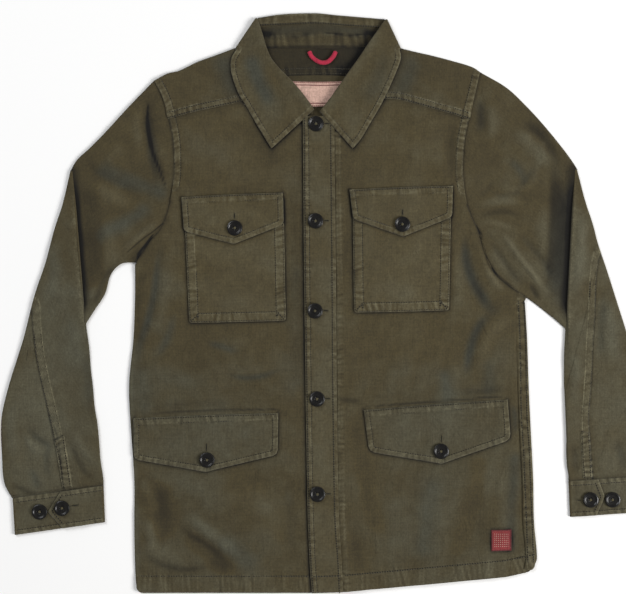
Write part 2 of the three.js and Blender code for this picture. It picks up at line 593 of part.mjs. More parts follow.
// ---------------------------------------------------------------- sleeves
/** The values of a list between two limits, with the limits, as shares of the way between. */
function within(values, from, to) {
  const inside = values.filter((value) => value > from + 0.02 && value < to - 0.02);
  return [from, ...inside, to].map((value) => (value - from) / (to - from));
}

/** One sleeve's sections, with its points on the upper layer and on the floor. */
class SleeveForm {
  constructor(side) {
    this.rows = SLEEVES[side];
    const sign = SIDE[side];
    const armhole = pick(ARMHOLES.slice(SLEEVE_JOIN[side]), `${side}X`, `${side}Y`);
    this.armhole = beside(armhole, -sign * SEAM).reverse();
    this.across = lengthShares(this.armhole);
    this.outer = pick(this.rows, "outerX", "outerY");
    this.inner = beside(pick(this.rows, "innerX", "innerY"), sign * (SEAM + CLOTH / 2));
    this.outOuter = normals(this.outer).map((normal) => normal.multiplyScalar(sign));
    this.outInner = normals(this.inner).map((normal) => normal.multiplyScalar(-sign));
    this.outer[0] = this.armhole[0];
    this.inner[0] = mix(this.armhole[this.armhole.length - 1], this.inner[0], 0.8);
    this.outOuter[0] = this.armhole[0].clone().sub(this.armhole[1]).normalize();
    this.crossing = this.rows.findIndex((row) => row.seam > 0);
  }

  width(i) {
    return this.outer[i].distanceTo(this.inner[i]);
  }

  /** Place in plan on section i; the first sections bend into the armhole's curve. */
  place(i, u) {
    const next = Math.max(1, this.across.findIndex((share) => share >= u - 1e-9));
    const [low, high] = [this.across[next - 1], this.across[next]];
    const onSeam = mix(this.armhole[next - 1], this.armhole[next], (u - low) / (high - low));
    const bow = onSeam.sub(mix(this.outer[0], this.inner[0], u));
    return mix(this.outer[i], this.inner[i], u).addScaledVector(bow, Math.max(0, 1 - i / 4) ** 2);
  }

  height(i, u, point) {
    return HIGH + folds(point.x, point.y) + this.rows[i].pleat * smooth(u / PLEAT_FADE);
  }

  above(i, u) {
    const point = this.place(i, u);
    return point.setZ(this.height(i, u, point));
  }

  below(i, u) {
    return this.place(i, u).setZ(LOW);
  }

  /** Share of section i that reaches a distance in from one of its edges, square to the edge. */
  reach(i, outward, distance) {
    return distance / Math.abs(this.inner[i].clone().sub(this.outer[i]).dot(outward[i]));
  }

  /** Share of the width at which the back seam crosses section i, on either layer. */
  seam(i) {
    return Math.max(Math.abs(this.rows[i].seam), this.reach(i, this.outOuter, TURN + 1));
  }

  /** Share of the width at which the inner seam crosses section i, underneath. */
  innerSeam(i) {
    return 1 - Math.min(MOST_TURNED, this.reach(i, this.outInner, INNER_TURN));
  }

  gap(i) {
    return SEAM / this.width(i);
  }

  /** Points round the outer edge of section i, from the upper layer down. */
  outerRoll(i) {
    const from = this.outer[i].clone().addScaledVector(this.outOuter[i], -TURN);
    return roll(this.outer[i], this.outOuter[i], this.height(i, 0, from), LOW);
  }

  /** Points round the inner edge of section i, from the upper layer down. */
  innerRoll(i) {
    const from = this.inner[i].clone().addScaledVector(this.outInner[i], -TURN);
    return roll(this.inner[i], this.outInner[i], this.height(i, 1, from), LOW);
  }
}

/** One sleeve: a top sleeve with the elbow pleat and an under sleeve, joined at two seams. */
function makeSleeve(side) {
  const form = new SleeveForm(side);
  const last = form.across.length - 1;
  const outward = (grid) => (side === "left" ? grid : grid.map((row) => [...row].reverse()));

  // Top sleeve: from the back seam, or from under the outer edge, to just under the inner edge.
  const underOuter = within(form.across, 2 * form.gap(0), form.seam(0));
  const top = form.rows.map((_, i) => {
    const start = i < form.crossing ? 0 : form.seam(i) + form.gap(i);
    const row = form.across.map((u) => form.above(i, start + (1 - start) * u));
    row[last] = form.innerRoll(i)[0];
    if (i < form.crossing) row[0] = form.outerRoll(i)[0];
    return row;
  });
  const innerTurn = form.rows.map((_, i) => [...form.innerRoll(i), form.below(i, form.innerSeam(i))]);
  const outerTurn = form.rows.slice(0, form.crossing).map((_, i) => {
    const strip = underOuter.slice(1).map((t) => form.below(i, form.seam(i) * t));
    return [...form.outerRoll(i), ...strip].reverse();
  });
  const topSleeve = new Cloth().add(outward(outerTurn)).add(outward(top)).add(outward(innerTurn));
  piece(`sleeve_top_${side}`, topSleeve.wall());

  // Under sleeve: on the floor, and turned up round the forearm's outer edge to the back seam.
  const flatShares = within(form.across, form.seam(0) + 2 * form.gap(0), form.innerSeam(0));
  const under = form.rows.map((_, i) => {
    const from = i < form.crossing ? form.seam(i) + 2 * form.gap(i) : 0;
    const to = form.innerSeam(i) - 2 * form.gap(i);
    const row = flatShares.map((t) => form.below(i, from + (to - from) * t));
    if (i >= form.crossing) row[0] = form.outerRoll(i)[TURN_STEPS];
    return row.reverse();
  });
  const turnedUp = form.rows.slice(form.crossing).map((_, k) => {
    const i = k + form.crossing;
    const to = form.seam(i) - form.gap(i);
    const strip = shares(2).slice(1).map((t) => form.above(i, to * t));
    return [...form.outerRoll(i).reverse(), ...strip];
  });
  piece(`sleeve_under_${side}`, new Cloth().add(outward(under)).add(outward(turnedUp)).wall());
}

/** One cuff: a band wound once round the wrist, its pointed tab lying on its own under end. */
function makeCuff(side) {
  const cuff = CUFFS[side];
  const sign = SIDE[side];
  const corner = (name) => plan(...cuff[name]);
  const rows = shares(4).map((v) => {
    const outer = mix(corner("topOuter"), corner("lowOuter"), v);
    const inner = mix(corner("topInner"), corner("lowInner"), v);
    const across = inner.clone().sub(outer);
    const wide = across.length();
    across.normalize();
    const tip = v < 0.5 ? lerp(cuff.tab[0], cuff.tab[1], 2 * v) : lerp(cuff.tab[1], cuff.tab[2], 2 * v - 1);
    const at = (distance, z) => outer.clone().addScaledVector(across, distance).setZ(z);
    const underEnd = Math.max(...cuff.tab) * wide + CUFF_LAP;
    const start = shares(3).slice(0, -1).map((t) => at(lerp(underEnd, TURN, t), HIGH));
    const outside = roll(outer, across.clone().negate(), HIGH, LOW);
    const middle = at(wide / 2, LOW);
    const inside = roll(inner, across, LOW, HIGH);
    const lift = at(underEnd + 12, HIGH);
    const over = shares(3).map((t) => at(lerp(underEnd + 4, tip * wide, t), HIGH + ON_PANEL));
    return [...start, ...outside, middle, ...inside, lift, ...over];
  });
  const grid = sign < 0 ? rows : rows.map((row) => [...row].reverse());
  piece(`cuff_${side}`, new Cloth().add(grid).wall());
}

/** The strip that binds a sleeve vent, on the sleeve above the cuff. */
function makeVent(side) {
  const { top, low } = VENTS[side];
  const rows = shares(3).map((v) => shares(1).map((u) => {
    const point = mix(mix(plan(...low[0]), plan(...low[1]), u), mix(plan(...top[0]), plan(...top[1]), u), v);
    return point.setZ(HIGH + folds(point.x, point.y) + ON_PANEL);
  }));
  piece(`sleeve_vent_${side}`, new Cloth().add(rows).wall());
}

// ---------------------------------------------------------------- pockets, flaps and trim
/** Height of the front below a place. */
const frontHeight = (x, y) => (x < 0 ? rightHeight(x, y) : leftHeight(x, y));

/** A pocket or flap: a pointed panel at a given number of layers above its front. */
function makeOnFront(name, layers) {
  const { top, low, tip } = ON_FRONTS[name];
  const corners = toPlan([...low, ...top]);
  const lowLine = shares(6).map((t) =>
    t < 0.5 ? mix(corners[0], plan(...tip), 2 * t) : mix(plan(...tip), corners[1], 2 * t - 1),
  );
  const topLine = shares(6).map((t) => mix(corners[2], corners[3], t));
  const rows = shares(4).map((v) => lowLine.map((point, i) => mix(point, topLine[i], v)));
  piece(name, new Cloth().add(raise(rows, (x, y) => frontHeight(x, y) + layers * ON_PANEL)).wall());
}

/** A sewn button: a dished disc with a raised rim, resting at a height. */
function makeButton(name, x, y, base) {
  const profile = BUTTON_PROFILE.map(([share, z]) => new THREE.Vector2(share * BUTTON_RADIUS, z));
  const geometry = new THREE.LatheGeometry(profile, BUTTON_SIDES);
  geometry.rotateX(Math.PI / 2);
  piece(name, geometry, HORN()).position.set(x, y, base);
}

/** A flat label between two heights and two sides, on a layer below it. */
function makeLabel(name, { left, right, low, high }, height, material) {
  const rows = shares(2).map((v) => shares(2).map((u) => {
    const [x, y] = [lerp(left, right, u), lerp(low, high, v)];
    return plan(x, y, height(x, y));
  }));
  piece(name, new Cloth().add(rows).wall(LABEL_CLOTH), material);
}

/** The cord loop at the neck seam, lying on the inside of the back. */
function makeHangerLoop() {
  const height = CLOTH + GAP + LOOP_RADIUS;
  const path = new THREE.CatmullRomCurve3(HANGER_LOOP.map(([x, y]) => plan(x, y, height)));
  const section = new THREE.Shape().absarc(0, 0, LOOP_RADIUS, 0, 2 * Math.PI);
  const geometry = new THREE.ExtrudeGeometry(section, { extrudePath: path, steps: 16, curveSegments: 8 });
  piece("hanger_loop", geometry, RED_CORD());
}

// ---------------------------------------------------------------- the jacket
makeBack();
makeYoke();
makeFrontRight();
makeFrontLeft();
makeBand();
makeCollarStand();
makeCollarFall();
for (const side of ["right", "left"]) {
  makeSleeve(side);
  makeCuff(side);
  makeVent(side);
  makeOnFront(`chest_pocket_${side}`, 1);
  makeOnFront(`chest_flap_${side}`, 2);
  makeOnFront(`lower_flap_${side}`, 1);
}
const panelTop = { chest: 2 * ON_PANEL, lower: ON_PANEL, front: LAYER };
for (const { name, x, y } of BODY_BUTTONS) {
  const kind = name.split("_")[1];
  const below = kind === "front" ? rightHeight(x, y) : frontHeight(x, y);
  makeButton(name, x, y, below + panelTop[kind] + CLOTH / 2 + GAP);
}
for (const side of ["right", "left"]) {
  const { tabButton, spareButton } = CUFFS[side];
  makeButton(`button_cuff_${side}_tab`, ...tabButton, HIGH + ON_PANEL + CLOTH / 2 + GAP);
  makeButton(`button_cuff_${side}_spare`, ...spareButton, HIGH + CLOTH / 2 + GAP);
}
const onCloth = (CLOTH + LABEL_CLOTH) / 2 + GAP;
makeLabel("neck_label", NECK_LABEL, () => LOW + onCloth, LABEL());
makeLabel("hem_patch", HEM_PATCH, (x, y) => leftHeight(x, y) + onCloth, RED_CLOTH());
makeHangerLoop();

export default jacket;
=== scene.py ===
"""A cotton twill field jacket, laid flat on its back and buttoned.

Lengths in the tables are millimetres in the row's frame: +X to the wearer's left, +Y to the
collar, +Z up. Right and left are the wearer's. Meshes are put down in metres.
"""

import logging
import math
from dataclasses import dataclass, field
from enum import Enum
from typing import Callable, Sequence

import bmesh
import bpy
import numpy as np
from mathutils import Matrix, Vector


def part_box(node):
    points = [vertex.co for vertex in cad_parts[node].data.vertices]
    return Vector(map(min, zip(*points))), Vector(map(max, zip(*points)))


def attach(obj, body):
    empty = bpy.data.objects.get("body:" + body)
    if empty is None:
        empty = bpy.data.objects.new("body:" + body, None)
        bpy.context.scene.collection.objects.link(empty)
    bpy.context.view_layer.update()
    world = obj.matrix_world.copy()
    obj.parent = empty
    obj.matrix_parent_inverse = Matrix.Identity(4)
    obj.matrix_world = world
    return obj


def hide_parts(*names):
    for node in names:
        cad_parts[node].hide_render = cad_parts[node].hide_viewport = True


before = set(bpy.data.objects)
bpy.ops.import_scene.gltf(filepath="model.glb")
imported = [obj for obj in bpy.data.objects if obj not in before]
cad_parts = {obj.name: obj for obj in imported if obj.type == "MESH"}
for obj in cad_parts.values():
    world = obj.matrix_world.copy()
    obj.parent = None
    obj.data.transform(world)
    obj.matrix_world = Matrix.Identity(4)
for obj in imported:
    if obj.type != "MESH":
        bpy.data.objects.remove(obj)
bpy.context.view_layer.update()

log = logging.getLogger("jacket")
Array = np.ndarray
Point = tuple[float, float]

MM = 0.001  # metres in a millimetre
CLOTH = 1.2  # thickness of the twill
LOW = 0.6  # middle height of cloth on the floor
HIGH = 3.6  # middle height of the upper layer
STEP = 1.5  # rise from one layer of cloth to the next
ON_PANEL = 1.6  # rise of a piece sewn on a panel
TURN = 1.8  # radius of a turned edge, in plan
FOLD_DEPTH = 1.5  # how much deeper the folds lie than their tables say
FOLD_SHADING = 2.1  # how much stronger their painted shade and highlight are
UNDERNEATH = 2.1  # lowest middle height of an upper layer, clear of the cloth below it


class Side(Enum):
    """The wearer's side of a piece."""

    RIGHT = "right"
    LEFT = "left"

    @property
    def sign(self) -> int:
        """Minus one on the right, which lies at negative X."""
        return -1 if self is Side.RIGHT else 1


# ------------------------------------------------------------------ lines in plan


def smooth(t: Array | float) -> Array:
    """Three t squared less two t cubed, held between zero and one."""
    t = np.clip(t, 0.0, 1.0)
    return t * t * (3.0 - 2.0 * t)


def ticks(length: float, coarse: float, fine: float, low: float = 0.0, high: float = 0.0) -> Array:
    """Shares of a length, close together within a margin at each end.

    Args:
        length: the whole length.
        coarse: spacing between the margins.
        fine: spacing within them.
        low: margin at the start.
        high: margin at the end.

    Returns:
        Rising shares from zero to one.
    """
    count = max(2, round((length - low - high) / coarse))
    middle = np.linspace(low, length - high, count + 1)
    near, far = np.arange(0.0, low - fine / 2, fine), np.arange(0.0, high - fine / 2, fine)
    return np.concatenate([near, middle, length - far[::-1]]) / length


@dataclass(frozen=True)
class Path:
    """A smooth line through points in plan; it turns sharply only at the numbered corners."""

    points: Sequence[Point]
    corners: tuple[int, ...] = ()

    def at(self, t: Array) -> Array:
        """Places at parameters that count the points from zero.

        Each stretch is a cubic whose end slopes lie along the line between the neighbours of
        that end, or along the stretch itself at a corner or an end of the path.

        Args:
            t: parameters; a whole number is a point of the path.

        Returns:
            Places as rows by two.
        """
        p = np.asarray(self.points, float)
        step = np.diff(p, axis=0)
        long = np.linalg.norm(step, axis=1, keepdims=True)
        slope = step / long
        leave, arrive = np.vstack([slope, slope[-1:]]), np.vstack([slope[:1], slope])
        if len(p) > 2:
            mean = (p[2:] - p[:-2]) / (long[1:] + long[:-1])
            free = np.array([i not in self.corners for i in range(1, len(p) - 1)])
            leave[1:-1][free] = mean[free]
            arrive[1:-1][free] = mean[free]
        t = np.asarray(t, float)
        i = np.clip(t.astype(int), 0, len(p) - 2)
        f = (t - i)[:, None]
        a, b = p[i], p[i + 1]
        u, v = leave[i] * long[i], arrive[i + 1] * long[i]
        return (
            a * (1 + 2 * f) * (1 - f) ** 2
            + b * f * f * (3 - 2 * f)
            + u * f * (1 - f) ** 2
            - v * f * f * (1 - f)
        )

    def dense(self, step: float = 4.0) -> Array:
        """Places along the line about a step apart.

        Args:
            step: the spacing wanted.

        Returns:
            Evenly spaced places, both ends with them.
        """
        fine = self.at(np.linspace(0, len(self.points) - 1, 24 * (len(self.points) - 1) + 1))
        along = run(fine)
        count = max(1, int(round(along[-1] / step)))
        return at_length(fine, np.linspace(0, along[-1], count + 1))

    def shares(self, share: Array) -> Array:
        """Places at shares of the line's length."""
        fine = self.at(np.linspace(0, len(self.points) - 1, 32 * (len(self.points) - 1) + 1))
        return at_length(fine, np.asarray(share) * run(fine)[-1])


def run(line: Array) -> Array:
    """Length along a line of points, from its start to each point."""
    return np.concatenate([[0.0], np.cumsum(np.linalg.norm(np.diff(line, axis=0), axis=1))])


def at_length(line: Array, lengths: Array) -> Array:
    """Places on a line of points at lengths from its start."""
    along = run(line)
    return np.stack([np.interp(lengths, along, line[:, k]) for k in range(line.shape[1])], axis=1)


def unit(vectors: Array) -> Array:
    """Vectors in plan, one to a row, made one long."""
    return vectors / np.linalg.norm(vectors, axis=1, keepdims=True)


def quarter(vectors: Array) -> Array:
    """Vectors in plan turned a quarter to the left."""
    return np.stack([-vectors[..., 1], vectors[..., 0]], axis=-1)


def left_of(line: Array) -> Array:
    """Unit normals of a line in plan, to the left of the way it runs."""
    return quarter(unit(np.gradient(line, axis=0)))


def beside(line: Array, distance: float | Array) -> Array:
    """A line moved sideways by a distance, to its left if that is above zero."""
    return line + left_of(line) * np.reshape(distance, (-1, 1))


def nearest(places: Array, line: Array, reach: float = 1e9) -> tuple[Array, Array]:
    """Signed distance from each place to a line, and length along it.

    The distance is to the closest of the line's chords, above zero on the line's left.

    Args:
        places: places in plan.
        line: the line's points.
        reach: places further than this from the line's box are skipped.

    Returns:
        The signed distances, huge where skipped, and the lengths along the line.
    """
    best, side, along = np.full(len(places), 1e9), np.ones(len(places)), np.zeros(len(places))
    inside = np.all((places > line.min(0) - reach) & (places < line.max(0) + reach), axis=1)
    near, starts = places[inside], run(line)
    gap, sign, length = best[inside], side[inside], along[inside]
    for k in range(len(line) - 1):
        way = line[k + 1] - line[k]
        size = float(np.hypot(*way)) + 1e-12
        way = way / size
        off = near - line[k]
        s = np.clip(off @ way, 0.0, size)
        rest = off - s[:, None] * way
        d = np.hypot(rest[:, 0], rest[:, 1])
        closer = d < gap - 1e-9
        gap = np.where(closer, d, gap)
        sign = np.where(closer, np.where(way[0] * off[:, 1] - way[1] * off[:, 0] >= 0, 1.0, -1.0), sign)
        length = np.where(closer, starts[k] + s, length)
    best[inside], side[inside], along[inside] = gap, sign, length
    return best * side, along


def apart(grid: Array, line: Array, reach: float = 1e9) -> Array:
    """Distance in plan from each place of a grid to a line, as rows by columns."""
    distance, _ = nearest(grid[..., :2].reshape(-1, 2), line, reach)
    return np.abs(distance).reshape(grid.shape[:2])


def worn(distance: Array, depth: float, reach: float) -> Array:
    """How far cloth drops towards a cut edge: a square that is gone at the reach."""
    return depth * np.clip(1 - distance / reach, 0, 1) ** 2


def patch(low: Array, high: Array, start: Array, end: Array, u: Array, v: Array) -> Array:
    """Grid between four lines: the blend of both pairs less the blend of the corners.

    Args:
        low: first row, at every u.
        high: last row, at every u.
        start: first column, at every v.
        end: last column, at every v.
        u: shares across.
        v: shares up.

    Returns:
        Places as rows by columns by two.
    """
    u, v = u[None, :, None], v[:, None, None]
    across = start[:, None] * (1 - u) + end[:, None] * u
    up = low[None] * (1 - v) + high[None] * v
    corners = (low[0] * (1 - u) + low[-1] * u) * (1 - v) + (high[0] * (1 - u) + high[-1] * u) * v
    return across + up - corners


# ------------------------------------------------------------------ relief of the cloth


@dataclass
class Surface:
    """What the cloth is like at a set of places: its height and three colour marks: tone (painted shade and
    highlight), cool (partly painted sheen, partly the dye's own patches) and wear.
    """

    height: Array
    tone: Array
    cool: Array
    wear: Array

    @classmethod
    def flat(cls, count: int, height: float) -> "Surface":
        """Level cloth with no marks."""
        return cls(np.full(count, height), np.zeros(count), np.zeros(count), np.zeros(count))

    def marks(self) -> Array:
        """The three marks side by side."""
        return np.stack([self.tone, self.cool, self.wear], axis=1)


@dataclass(frozen=True)
class Fold:
    """A soft ridge, or a trough if its rise is below zero, along a line, with its tone and cool painted over
    it: painted shade and highlight, and a painted cool sheen.

    Its section is a bell, exp of minus the square of distance over width, which dies away over
    the last third of the line at each end.
    """

    points: Sequence[Point]
    width: float
    rise: float
    tone: float = 0.0
    cool: float = 0.0
    lean: float = 0.0  # above zero, the side to the left of the line is steeper
    ends: float = 0.35  # share of the line over which it dies away at each end

    def add(self, places: Array, surface: Surface) -> None:
        """Adds the fold's height and marks at the places.

        Args:
            places: places in plan.
            surface: the surface that is changed.
        """
        line = Path(self.points).dense(6.0)
        distance, along = nearest(places, line, 3.2 * self.width)
        share = along / run(line)[-1]
        width = self.width * (1 - self.lean * np.sign(distance))
        fade = smooth(share / self.ends) * smooth((1 - share) / self.ends) if self.ends else 1.0
        bell = np.exp(-np.minimum((distance / width) ** 2, 50.0)) * fade
        surface.height += FOLD_DEPTH * self.rise * bell
        # Painted shade where the tone is below zero, painted highlight where it is above, and a painted cool
        # sheen.
        surface.tone += FOLD_SHADING * self.tone * bell
        surface.cool += self.cool * bell


@dataclass(frozen=True)
class Crease:
    """A sharp slit where cloth tucks under itself, darkened with painted shade, tapering to nothing at both
    ends.
    """

    points: Sequence[Point]
    width: float
    depth: float = 1.0
    tone: float = -1.2

    def add(self, places: Array, surface: Surface) -> None:
        """Adds the slit: a flat-bottomed trough, one over one plus the fourth power of distance.

        Args:
            places: places in plan.
            surface: the surface that is changed.
        """
        line = Path(self.points).dense(3.0)
        distance, along = nearest(places, line, 5 * self.width)
        share = along / run(line)[-1]
        width = self.width * (0.25 + 0.75 * np.sin(math.pi * np.clip(share, 0, 1)) ** 0.6)
        near = 1 / (1 + np.minimum(np.abs(distance) / width, 20.0) ** 4)
        near *= smooth(share / 0.06) * smooth((1 - share) / 0.06)
        surface.height -= self.depth * near
        # Painted shade in the slit.
        surface.tone += self.tone * near


@dataclass(frozen=True)
class Seam:
    """A strip of doubled cloth beside a line, with rows of stitches and the puckers they draw.

    The strip is a flat rise with soft edges; each stitch row is a narrow groove; the puckers are
    two sines along the line whose phases drift and whose depth comes and goes.
    """

    points: Sequence[Point]
    near: float  # distance of the strip's first edge, above zero to the line's left
    far: float  # distance of its second edge
    rise: float = 0.7
    rows: tuple[float, ...] = ()  # distances of the stitch rows
    pucker: float = 0.22
    pitch: float = 7.0
    slant: float = 0.6  # how far the puckers lean along the line as they cross it
    wear: float = 0.5
    corners: tuple[int, ...] = ()
    ditch: float = 0.0  # how much painted shade darkens the sewn line at its first edge

    def add(self, places: Array, surface: Surface) -> None:
        """Adds the strip, its stitch rows and its puckers at the places.

        Args:
            places: places in plan.
            surface: the surface that is changed.
        """
        line = Path(self.points, self.corners).dense(5.0)
        d, s = nearest(places, line, max(abs(self.near), abs(self.far)) + 8)
        low, high = min(self.near, self.far), max(self.near, self.far)
        strip = smooth((d - low + 0.6) / 1.2) * smooth((high + 0.6 - d) / 1.2)
        about = smooth((d - low + 5) / 5) * smooth((high + 5 - d) / 5)
        shift = self.points[0][0] + 0.7 * self.points[0][1]
        slant = self.slant * (0.25 + 0.6 * np.sin(s / 13.0 + shift))
        phase = 2 * math.pi * (s + slant * (d - (low + high) / 2)) / self.pitch
        drift = 2.3 * np.sin(s / 19.0 + shift) + 1.7 * np.sin(s / 8.3 - shift)
        wave = 0.6 * np.sin(phase + drift) + 0.5 * np.sin(0.61 * phase - 1.4 * drift + shift)
        wave *= 0.35 + 0.8 * smooth(0.5 + 0.6 * np.sin(s / 23.0 + shift) * np.sin(s / 9.1 + 1.3))
        groove = sum(np.exp(-(((d - row) / 0.9) ** 2)) for row in self.rows) if self.rows else 0.0
        edge = np.exp(-(((d - low) / 1.2) ** 2)) + np.exp(-(((d - high) / 1.2) ** 2))
        sewn = np.exp(-(((d - self.near) / 1.1) ** 2))
        surface.height += (
            self.rise * strip + self.pucker * wave * about - 0.22 * groove - 0.3 * self.ditch * sewn
        )
        # In the tone, the lighter strip, the puckers' light and dark, the darker grooves and the darker sewn
        # line are painted highlight and shade; the wear on the strip and its edges is real rubbing.
        surface.tone += 0.04 * strip + 1.3 * self.pucker * wave * about - 0.25 * groove - self.ditch * sewn
        surface.wear += self.wear * (0.20 * strip * (0.7 + 1.2 * wave) + 0.75 * edge * strip)


@dataclass(frozen=True)
class Shade:
    """Cloth that lies close under another edge: it sinks a little and is darkened with painted shade."""

    points: Sequence[Point]
    width: float
    depth: float = 0.5
    tone: float = -0.5
    corners: tuple[int, ...] = ()

    def add(self, places: Array, surface: Surface) -> None:
        """Adds the hollow and its painted shade beside the line: an exponential fall with distance.

        Args:
            places: places in plan.
            surface: the surface that is changed.
        """
        d, _ = nearest(places, Path(self.points, self.corners).dense(5.0), 5 * self.width)
        near = np.exp(-np.minimum((np.abs(d) / self.width) ** 1.3, 40.0))
        surface.height -= self.depth * near
        # Painted shade beside the edge.
        surface.tone += self.tone * near


@dataclass(frozen=True)
class Wrinkles:
    """Slight unevenness over a whole panel: a sum of slanted sines with unlike wavelengths."""

    rise: float = 0.16
    seed: int = 1

    def add(self, places: Array, surface: Surface) -> None:
        """Adds twelve sines of 18 to 120 mm, each in its own direction.

        Args:
            places: places in plan.
            surface: the surface that is changed.
        """
        chance = np.random.default_rng(self.seed)
        total = np.zeros(len(places))
        for wave in np.geomspace(18.0, 120.0, 12):
            angle, phase = chance.uniform(0, math.pi), chance.uniform(0, 2 * math.pi)
            bend = 6.0 * np.sin(places[:, 1] / (1.7 * wave) + phase)
            along = places[:, 0] * math.cos(angle) + places[:, 1] * math.sin(angle) + bend
            total += (wave / 120.0) ** 0.6 * np.sin(2 * math.pi * along / wave + phase)
        surface.height += self.rise * total
        # The tone and cool that follow the sines are painted shading of the unevenness.
        surface.tone += 0.035 * total
        surface.cool += 0.05 * total


@dataclass(frozen=True)
class Tint:
    """A change of colour over a wide area about a line, with no change of height: partly the dye's own
    patches, partly painted shade and painted cool sheen.
    """

    points: Sequence[Point]
    width: float
    tone: float = 0.0
    cool: float = 0.0

    def add(self, places: Array, surface: Surface) -> None:
        """Adds the tint: a bell of the distance from the line.

        Args:
            places: places in plan.
            surface: the surface that is changed.
        """
        d, _ = nearest(places, Path(self.points).dense(12.0))
        bell = np.exp(-((d / self.width) ** 2))
        surface.tone += self.tone * bell
        surface.cool += self.cool * bell


Term = Fold | Crease | Seam | Shade | Wrinkles | Tint


def above(height: Array, least: float) -> Array:
    """Heights eased up to stay over a least one: half of x plus the root of x squared and a bit."""
    over = height - least
    return least + 0.5 * (over + np.sqrt(over * over + 0.09))


@dataclass(frozen=True)
class Relief:
    """The height of a layer of cloth over its plan, with everything that shapes it."""

    base: float
    terms: Sequence[Term] = ()
    lift: Callable[[Array], Array] | None = None

    def at(self, places: Array) -> Surface:
        """The surface at places in plan.

        Args:
            places: rows by two.

        Returns:
            Heights and marks, one for each place.
        """
        surface = Surface.flat(len(places), self.base)
        if self.lift is not None:
            surface.height += self.lift(places)
        for term in self.terms:
            term.add(places, surface)
        if self.base > UNDERNEATH:
            surface.height = above(surface.height, UNDERNEATH)
        return surface

    def raised(self, rise: float, extra: Sequence[Term] = ()) -> "Relief":
        """The same relief a little higher, with more terms."""
        return Relief(self.base + rise, [*self.terms, *extra], self.lift)

    def over(self, grid: Array) -> tuple[Array, Array]:
        """Lifts a grid of places.

        Args:
            grid: rows by columns by two.

        Returns:
            The grid with heights, and its marks, both rows by columns by three.
        """
        rows, columns = grid.shape[:2]
        surface = self.at(grid.reshape(-1, 2))
        lifted = np.dstack([grid, surface.height.reshape(rows, columns)])
        return lifted, surface.marks().reshape(rows, columns, 3)


# ------------------------------------------------------------------ meshes


def level(grid: Array, height: float) -> tuple[Array, Array]:
    """A plan grid at one height, with no marks."""
    rows, columns = grid.shape[:2]
    return np.dstack([grid, np.full((rows, columns), height)]), np.zeros((rows, columns, 3))


def rolled(
    edge: Array, outward: Array, low: float, radius: float = TURN, strip: Array | float = 0.0
) -> Array:
    """Cloth turned under an edge: half an ellipse in section, then level cloth going back in.

    Args:
        edge: the points where the turn starts, one for each section.
        outward: unit vectors in plan, square to the edge.
        low: height of the lower layer.
        radius: how far the turn stands out, in plan.
        strip: length of level cloth past the turn.

    Returns:
        Sections by points by three.
    """
    angle = np.linspace(0.0, math.pi, 9)[None, :, None]
    middle, half = (edge[:, 2:] + low) / 2, (edge[:, 2:] - low) / 2
    plan = edge[:, None, :2] + outward[:, None, :] * (radius * np.sin(angle))
    height = middle[:, None, :] + half[:, None, :] * np.cos(angle)
    turn = np.concatenate([plan, height], axis=2)
    strip = np.broadcast_to(np.asarray(strip, float), len(edge))
    if not strip.any():
        return turn
    back = np.linspace(0.0, 1.0, 4)[None, 1:, None]
    flat = edge[:, None, :2] - outward[:, None, :] * strip[:, None, None] * back
    level_part = np.concatenate([flat, np.full(flat.shape[:2] + (1,), low)], axis=2)
    return np.concatenate([turn, level_part], axis=1)


@dataclass
class Cloth:
    """One cut piece of cloth, gathered from grids that meet edge to edge."""

    name: str
    thickness: float = CLOTH
    places: list[Array] = field(default_factory=list)
    marks: list[Array] = field(default_factory=list)
    grain: list[Array] = field(default_factory=list)
    faces: list[Array] = field(default_factory=list)
    count: int = 0

    def add(self, grid: Array, marks: Array | None = None, grain: Array | None = None) -> "Cloth":
        """Adds a grid of four-sided faces.

        Args:
            grid: rows by columns by three.
            marks: the colour marks at each place, painted shade and highlight among them, or None for none.
            grain: places on the flat cloth, or None to take them from the plan.

        Returns:
            This cloth.
        """
        rows, columns = grid.shape[:2]
        number = np.arange(rows * columns).reshape(rows, columns) + self.count
        quads = np.stack([number[:-1, :-1], number[:-1, 1:], number[1:, 1:], number[1:, :-1]], axis=-1)
        self.faces.append(quads.reshape(-1, 4))
        self.places.append(grid.reshape(-1, 3))
        self.marks.append((np.zeros(grid.shape) if marks is None else marks).reshape(-1, 3))
        self.grain.append((grid[..., :2] if grain is None else grain).reshape(-1, 2))
        self.count += rows * columns
        return self

    def turned(self, grid: Array, marks: Array | None = None) -> "Cloth":
        """Adds a turned edge whose marks carry on from its first column.

        Args:
            grid: sections by points by three.
            marks: the marks of each section, or None.

        Returns:
            This cloth.
        """
        if marks is not None:
            marks = np.repeat(marks[:, None, :], grid.shape[1], axis=1)
        return self.add(grid, marks)

    def make(self, material: bpy.types.Material) -> bpy.types.Object:
        """The cloth as an object: a surface with its doubles merged, given its thickness.

        Args:
            material: its finish.

        Returns:
            The object.
        """
        mesh = bpy.data.meshes.new(self.name)
        places = np.concatenate(self.places) * MM
        faces = np.concatenate(self.faces)
        mesh.from_pydata(places.tolist(), [], faces.tolist())
        mesh.attributes.new("marks", "FLOAT_VECTOR", "POINT").data.foreach_set(
            "vector", np.concatenate(self.marks).astype(np.float32).ravel()
        )
        lay_out(mesh, np.concatenate(self.grain)[faces.ravel()])
        weld(mesh)
        obj = add_object(mesh, material)
        wall = obj.modifiers.new("wall", "SOLIDIFY")
        wall.thickness = self.thickness * MM
        wall.offset = 0.0
        return obj


def lay_out(mesh: bpy.types.Mesh, grain: Array) -> None:
    """Gives a mesh its map: places on the flat cloth, one for each corner of each face."""
    lay = mesh.uv_layers.new(name="cloth")
    lay.data.foreach_set("uv", (grain * MM).astype(np.float32).ravel())


